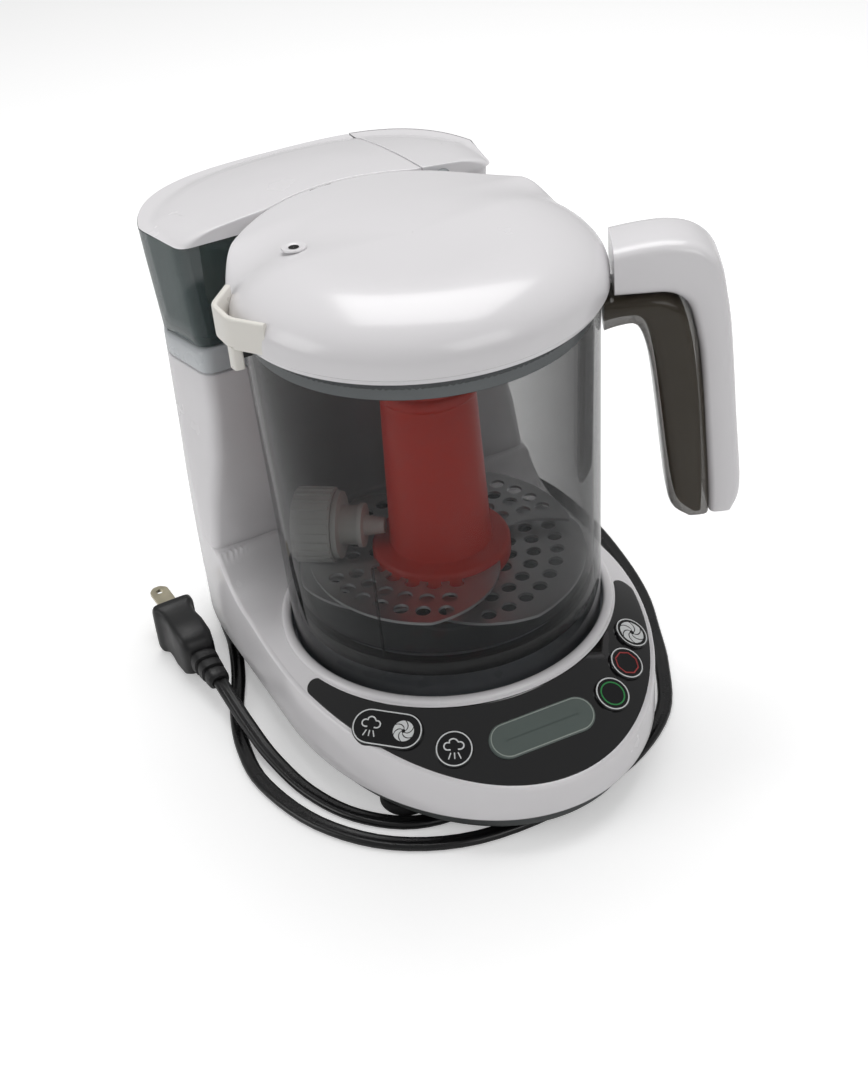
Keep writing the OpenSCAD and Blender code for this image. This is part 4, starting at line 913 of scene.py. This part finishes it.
def grip_body(name, inner, outer, width, material, corner, shrink=0.0):
    """Handle part: cross-sections between an inner and an outer edge, soft at the corners."""
    inner, outer = (smooth_path([(*p, 0) for p in edge], 5) for edge in (inner, outer))
    rings = []
    for p, q in zip(inner, outer):
        mid, half = (p + q) / 2, (q - p) / 2
        length, way = max(0.2, half.length - shrink), half.normalized()
        ring = []
        for angle in full_turn(28):
            point = mid + way * (power_of(cos(angle), 2 / corner) * length)
            ring.append(at_angle(SWING, point.x, power_of(sin(angle), 2 / corner) * (width / 2 - shrink), point.y))
        rings.append(ring)
    return loft(name, rings, "bowl", material, caps=(True, True))


def make_handle():
    cover_in = [(66.6, 174.7), (75, 174.7), (84, 174.6), (89, 172.6), (92.2, 168.6), (94.4, 160), (96.2, 148),
                (98.0, 120), (99.4, 96), (99.7, 86.2)]
    cover_out = [(66.6, 191.8), (77, 193.4), (87, 193.8), (96, 191.4), (102.6, 184.6), (105.4, 172), (107.2, 158),
                 (109.6, 124), (111.4, 96), (108.6, 86.6)]
    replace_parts(grip_body("grip_cover", cover_in, cover_out, 26.0, white_abs, 5.0), "handle_cover")
    core_in = [(62.9, 161.6), (67.5, 163.2), (72.6, 163.6), (75.6, 160), (78.0, 152), (80.0, 140), (82.2, 120),
               (84.2, 100), (86.0, 88.6), (91, 84.9)]
    core_out = [(62.9, 174.2), (72, 174.2), (82, 174.2), (88.6, 171.6), (92.4, 167.6), (95.8, 156), (98.4, 134),
                (99.9, 110), (100.5, 94), (100.3, 85.4)]
    # The clear core; its brown-grey tint carries painted shade of the channel behind it
    core = grip_body("grip_core", core_in, core_out, 25.0, handle_clear, 4.5)
    # Painted shade: a dark solid inside the core for the shadow in its channel
    grip_body("grip_channel", core_in, core_out, 25.0, channel_shade, 4.0, 2.6)
    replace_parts(core, "handle_core")


def make_hub():
    low, flange = 66.2, 74.4
    profile = [(4.05, low), (25.6, low), (26.3, low + 0.5), (26.5, low + 1.4), (26.5, flange - 1.8),
               (26.0, flange - 0.6), (25.0, flange), (20.6, flange + 0.2), (19.6, flange + 0.9),
               (19.35, flange + 3.2), (17.5, 137.2), (17.6, 138.0), (18.2, 138.4), (18.5, 139.2), (18.5, 141.4),
               (18.0, 142.4), (17.1, 143.0), (16.6, 155.6), (15.8, 158.6), (13.4, 159.8), (9.5, 160.0),
               (4.0, 159.4), (0.6, 159.2)]
    hub = lathe("red_hub", profile, "blade", hub_red, 128)
    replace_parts(hub, "blade_hub")


make_bowl()
make_handle()
make_hub()


# ---------------------------------------------------------------- lid, its tab and liner
# Rings up the lid's wall, over its shoulder and in to its middle
WALL_RINGS, SHOULDER_RINGS, TOP_RINGS = 3, 13, 8
SHOULDER_WIDE, SHOULDER_DEEP, LIP = 32.0, 17.0, 2.4


def lid_height(direction, ring):
    """Radius and height of the lid's outside: ring 0 is at the foot of its wall, and the last at its middle."""
    c, s = cos(direction), sin(direction)
    fall = (LID_TOP - dome(LID_R * c, LID_R * s)) * smoothstep((LID_R * s - 2.0) / 50.0)

    def top_at(r, part):
        # The shoulder fades out behind a line that leans to the right, where the lid runs level with the tower's cap
        flush = smoothstep((r * s - 18.0 + 14.0 * smoothstep((r * c + 20.0) / 60.0)) / 26.0)
        crisp = 0.6 * (1 - sqrt(1 - max(0.0, (r - LID_R + 0.6) / 0.6) ** 2))
        return LID_TOP - fall * (r / LID_R) ** 2 - SHOULDER_DEEP * part * (1 - flush) - crisp

    if ring <= WALL_RINGS:
        return LID_R, LID_Z + LIP + (top_at(LID_R, 1.0) - LID_Z - LIP) * ring / WALL_RINGS
    ring -= WALL_RINGS
    if ring <= SHOULDER_RINGS:
        a = pi / 2 * ring / SHOULDER_RINGS
        r = LID_R - SHOULDER_WIDE * (1 - cos(a))
        return r, top_at(r, 1 - sin(a))
    r = max((LID_R - SHOULDER_WIDE) * (1 - (ring - SHOULDER_RINGS) / TOP_RINGS), 0.15)
    return r, top_at(r, 0.0)


def prism(name, outline, heights, body, material):
    """Upright solid over a level outline."""
    return loft(name, [level(outline, z) for z in heights], body, material, caps=(True, True))


def make_lid():
    angles = full_turn(180)
    rings = [turned(LID_R - inset, LID_Z + up, angles) for inset, up in (
        (2.4, 3), (2.4, 0.2), (1.9, 0), (1.5, 0.05), (1.2, 0.4), (1.2, 1.9), (0.3, 2.1))]
    for step in range(WALL_RINGS + SHOULDER_RINGS + TOP_RINGS + 1):
        shape = [(a, *lid_height(a, step)) for a in angles]
        rings.append([at(*polar(r, a), z) for a, r, z in shape])
    rings += [turned(r, z, angles) for r, z in (
        (0.1, LID_TOP - 2.4), (LID_R - 30, LID_TOP - 5), (LID_R - 6, LID_Z + 6))]
    lid = loft("lid_dome", rings, "lid", white_abs, flip=True)
    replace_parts(lid, "lid_shell")
    slot = rounded([(-4.6, -0.8), (4.6, -0.8), (4.6, 0.8), (-4.6, 0.8)], 0.7, 4, True)
    for k, (x, y, turn) in enumerate(((-6.0, 63.4, 5.0), (22.6, 59.0, -21.0))):
        c, s = cos(radians(turn)), sin(radians(turn))
        ring = [(x + u * c - v * s, y + u * s + v * c) for u, v in slot]
        loft("lid_slot_%d" % (k + 1), [[at(px, py, dome(px, py, drop)) for px, py in ring] for drop in (0.4, -0.12)],
             "lid", dark_hole, caps=(False, True), flip=True)
    vent_x, vent_y = polar(40.5, radians(158))
    for name, profile, finish in (
            ("steam_vent", [(4.4, 198.2), (4.2, 198.7), (3.4, 198.8), (1.9, 198.5), (1.6, 198.2)], white_abs),
            ("steam_vent_throat", [(1.9, 198.46), (0.1, 198.44)], dark_hole)):
        lathe(name, profile, "lid", finish, 48, lambda x, y, z: at(vent_x + x, vent_y + y, z))


def make_liner():
    profile = [(0.3, 184.9), (40, 184.9), (63.0, 184.9), (63.2, 184.4), (63.0, 183.6), (60.1, 183.4), (60.2, 171),
               (60.2, 168.4), (60.0, 168.0), (59.2, 168.1), (58.5, 168.9), (58.3, 171), (58.3, 183.0), (30, 183.2),
               (0.3, 183.2)]
    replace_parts(lathe("lid_skirt", profile, "lid", liner_grey, 160), "lid_liner")


def make_tab():
    path = rounded([(-61.5, 19.4), (-70.8, 8.8), (-70.4, -4.0), (-62.4, -15.6)], [0, 3.0, 3.0, 0], 7)
    section = rounded([(-1.1, 178.6), (1.1, 178.6), (1.1, 190.0), (-1.1, 190.0)], [0.6, 0.6, 1.0, 1.0], 4, True)
    rings = []
    for k, (x, y) in enumerate(path):
        a, b = path[max(k - 1, 0)], path[min(k + 1, len(path) - 1)]
        d = Vector((b[0] - a[0], b[1] - a[1])).normalized()
        rings.append([at(x - d.y * u, y + d.x * u, z) for u, z in section])
    loop = loft("tab_loop", rings, "lid", warm_abs, caps=(True, True))
    for name, outline, radius, steps, heights, finish in (
            ("tab_floor", [(-70.2, 8.4), (-69.8, -3.8), (-63.0, -13.6), (-61.8, 17.8)], [2.6, 2.6, 0.4, 0.4], 6,
             (178.8, 180.6), warm_abs),
            ("tab_leg", [(-71.6, -1.2), (-71.2, -5.4), (-67.6, -5.8), (-67.6, -1.2)], 1.0, 4,
             (171.0, 171.6, 179.4), warm_abs),
            ("tab_lug", [(-68.6, 3.8), (-68.6, -3.8), (-63.4, -3.8), (-63.4, 3.8)], 1.2, 4,
             (174.0, 174.5, 177.0, 178.9), black_nylon)):
        prism(name, rounded(outline, radius, steps, True), heights, "lid", finish)
    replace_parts(loop, "lid_tab")


make_lid()
make_liner()
make_tab()


# ---------------------------------------------------------------- floor, light and backdrop
# How much the floor is lifted towards white for the camera, and the strength of the light from all round
FLOOR_LIFT, WORLD_LIGHT = 0.32, 0.33


def backdrop_finish(name, colour):
    """Pale floor, lifted to the white of the backdrop where the camera looks at it, that keeps its shadows."""
    material = bpy.data.materials.new(name)
    tree, out = bare_tree(material, "ShaderNodeOutputMaterial")
    shader = add_node(tree, "ShaderNodeBsdfDiffuse", None, {"Color": linear(colour)})
    seen = add_node(tree, "ShaderNodeMath", {"operation": "MULTIPLY"}, {
        0: add_node(tree, "ShaderNodeLightPath").outputs["Is Camera Ray"], 1: FLOOR_LIFT})
    lift = add_node(tree, "ShaderNodeEmission", None, {"Color": (1, 1, 1, 1), "Strength": seen.outputs[0]})
    both = add_node(tree, "ShaderNodeAddShader", None, {0: shader.outputs[0], 1: lift.outputs[0]})
    tree.links.new(both.outputs[0], out.inputs[0])
    return material


def make_stage():
    floor_paint = backdrop_finish("pale_floor", "#F4F4F4")
    half = 3.0
    verts = [(-half, -half, 0), (half, -half, 0), (half, half, 0), (-half, half, 0)]
    mesh_piece("floor", verts, [(0, 1, 2, 3)], None, floor_paint, True)


def add_lamp(name, place, aim, size, watts):
    data = bpy.data.lights.new(name, "AREA")
    data.shape, data.size, data.size_y, data.energy = "RECTANGLE", size[0], size[1], watts
    lamp = bpy.data.objects.new(name, data)
    bpy.context.collection.objects.link(lamp)
    lamp.location = place
    lamp.rotation_euler = (Vector(aim) - Vector(place)).to_track_quat("-Z", "Y").to_euler()


def make_world():
    world = bpy.data.worlds.new("studio")
    bpy.context.scene.world = world
    tree, out = bare_tree(world, "ShaderNodeOutputWorld")
    path = add_node(tree, "ShaderNodeLightPath")
    seen = add_node(tree, "ShaderNodeMath", {"operation": "MAXIMUM"}, {
        0: path.outputs["Is Camera Ray"], 1: path.outputs["Is Transmission Ray"]})
    soft = add_node(tree, "ShaderNodeBackground", None, {"Color": (1, 1, 1, 1), "Strength": WORLD_LIGHT})
    plain = add_node(tree, "ShaderNodeBackground", None, {"Color": (1, 1, 1, 1), "Strength": 1.0})
    both = add_node(tree, "ShaderNodeMixShader", None, {0: seen.outputs[0], 1: soft.outputs[0], 2: plain.outputs[0]})
    tree.links.new(both.outputs[0], out.inputs[0])


make_stage()
make_world()
add_lamp("top", (0.2, 0.3, 1.25), (0, 0.02, 0.1), (0.9, 0.8), 8.8)
add_lamp("left", (-1.25, 0.25, 0.6), (0, 0.02, 0.1), (0.7, 0.7), 3.2)
add_lamp("front", (0.2, -1.1, 0.9), (0, 0, 0.1), (0.8, 0.6), 3.0)
bpy.context.scene.view_settings.view_transform = "Standard"
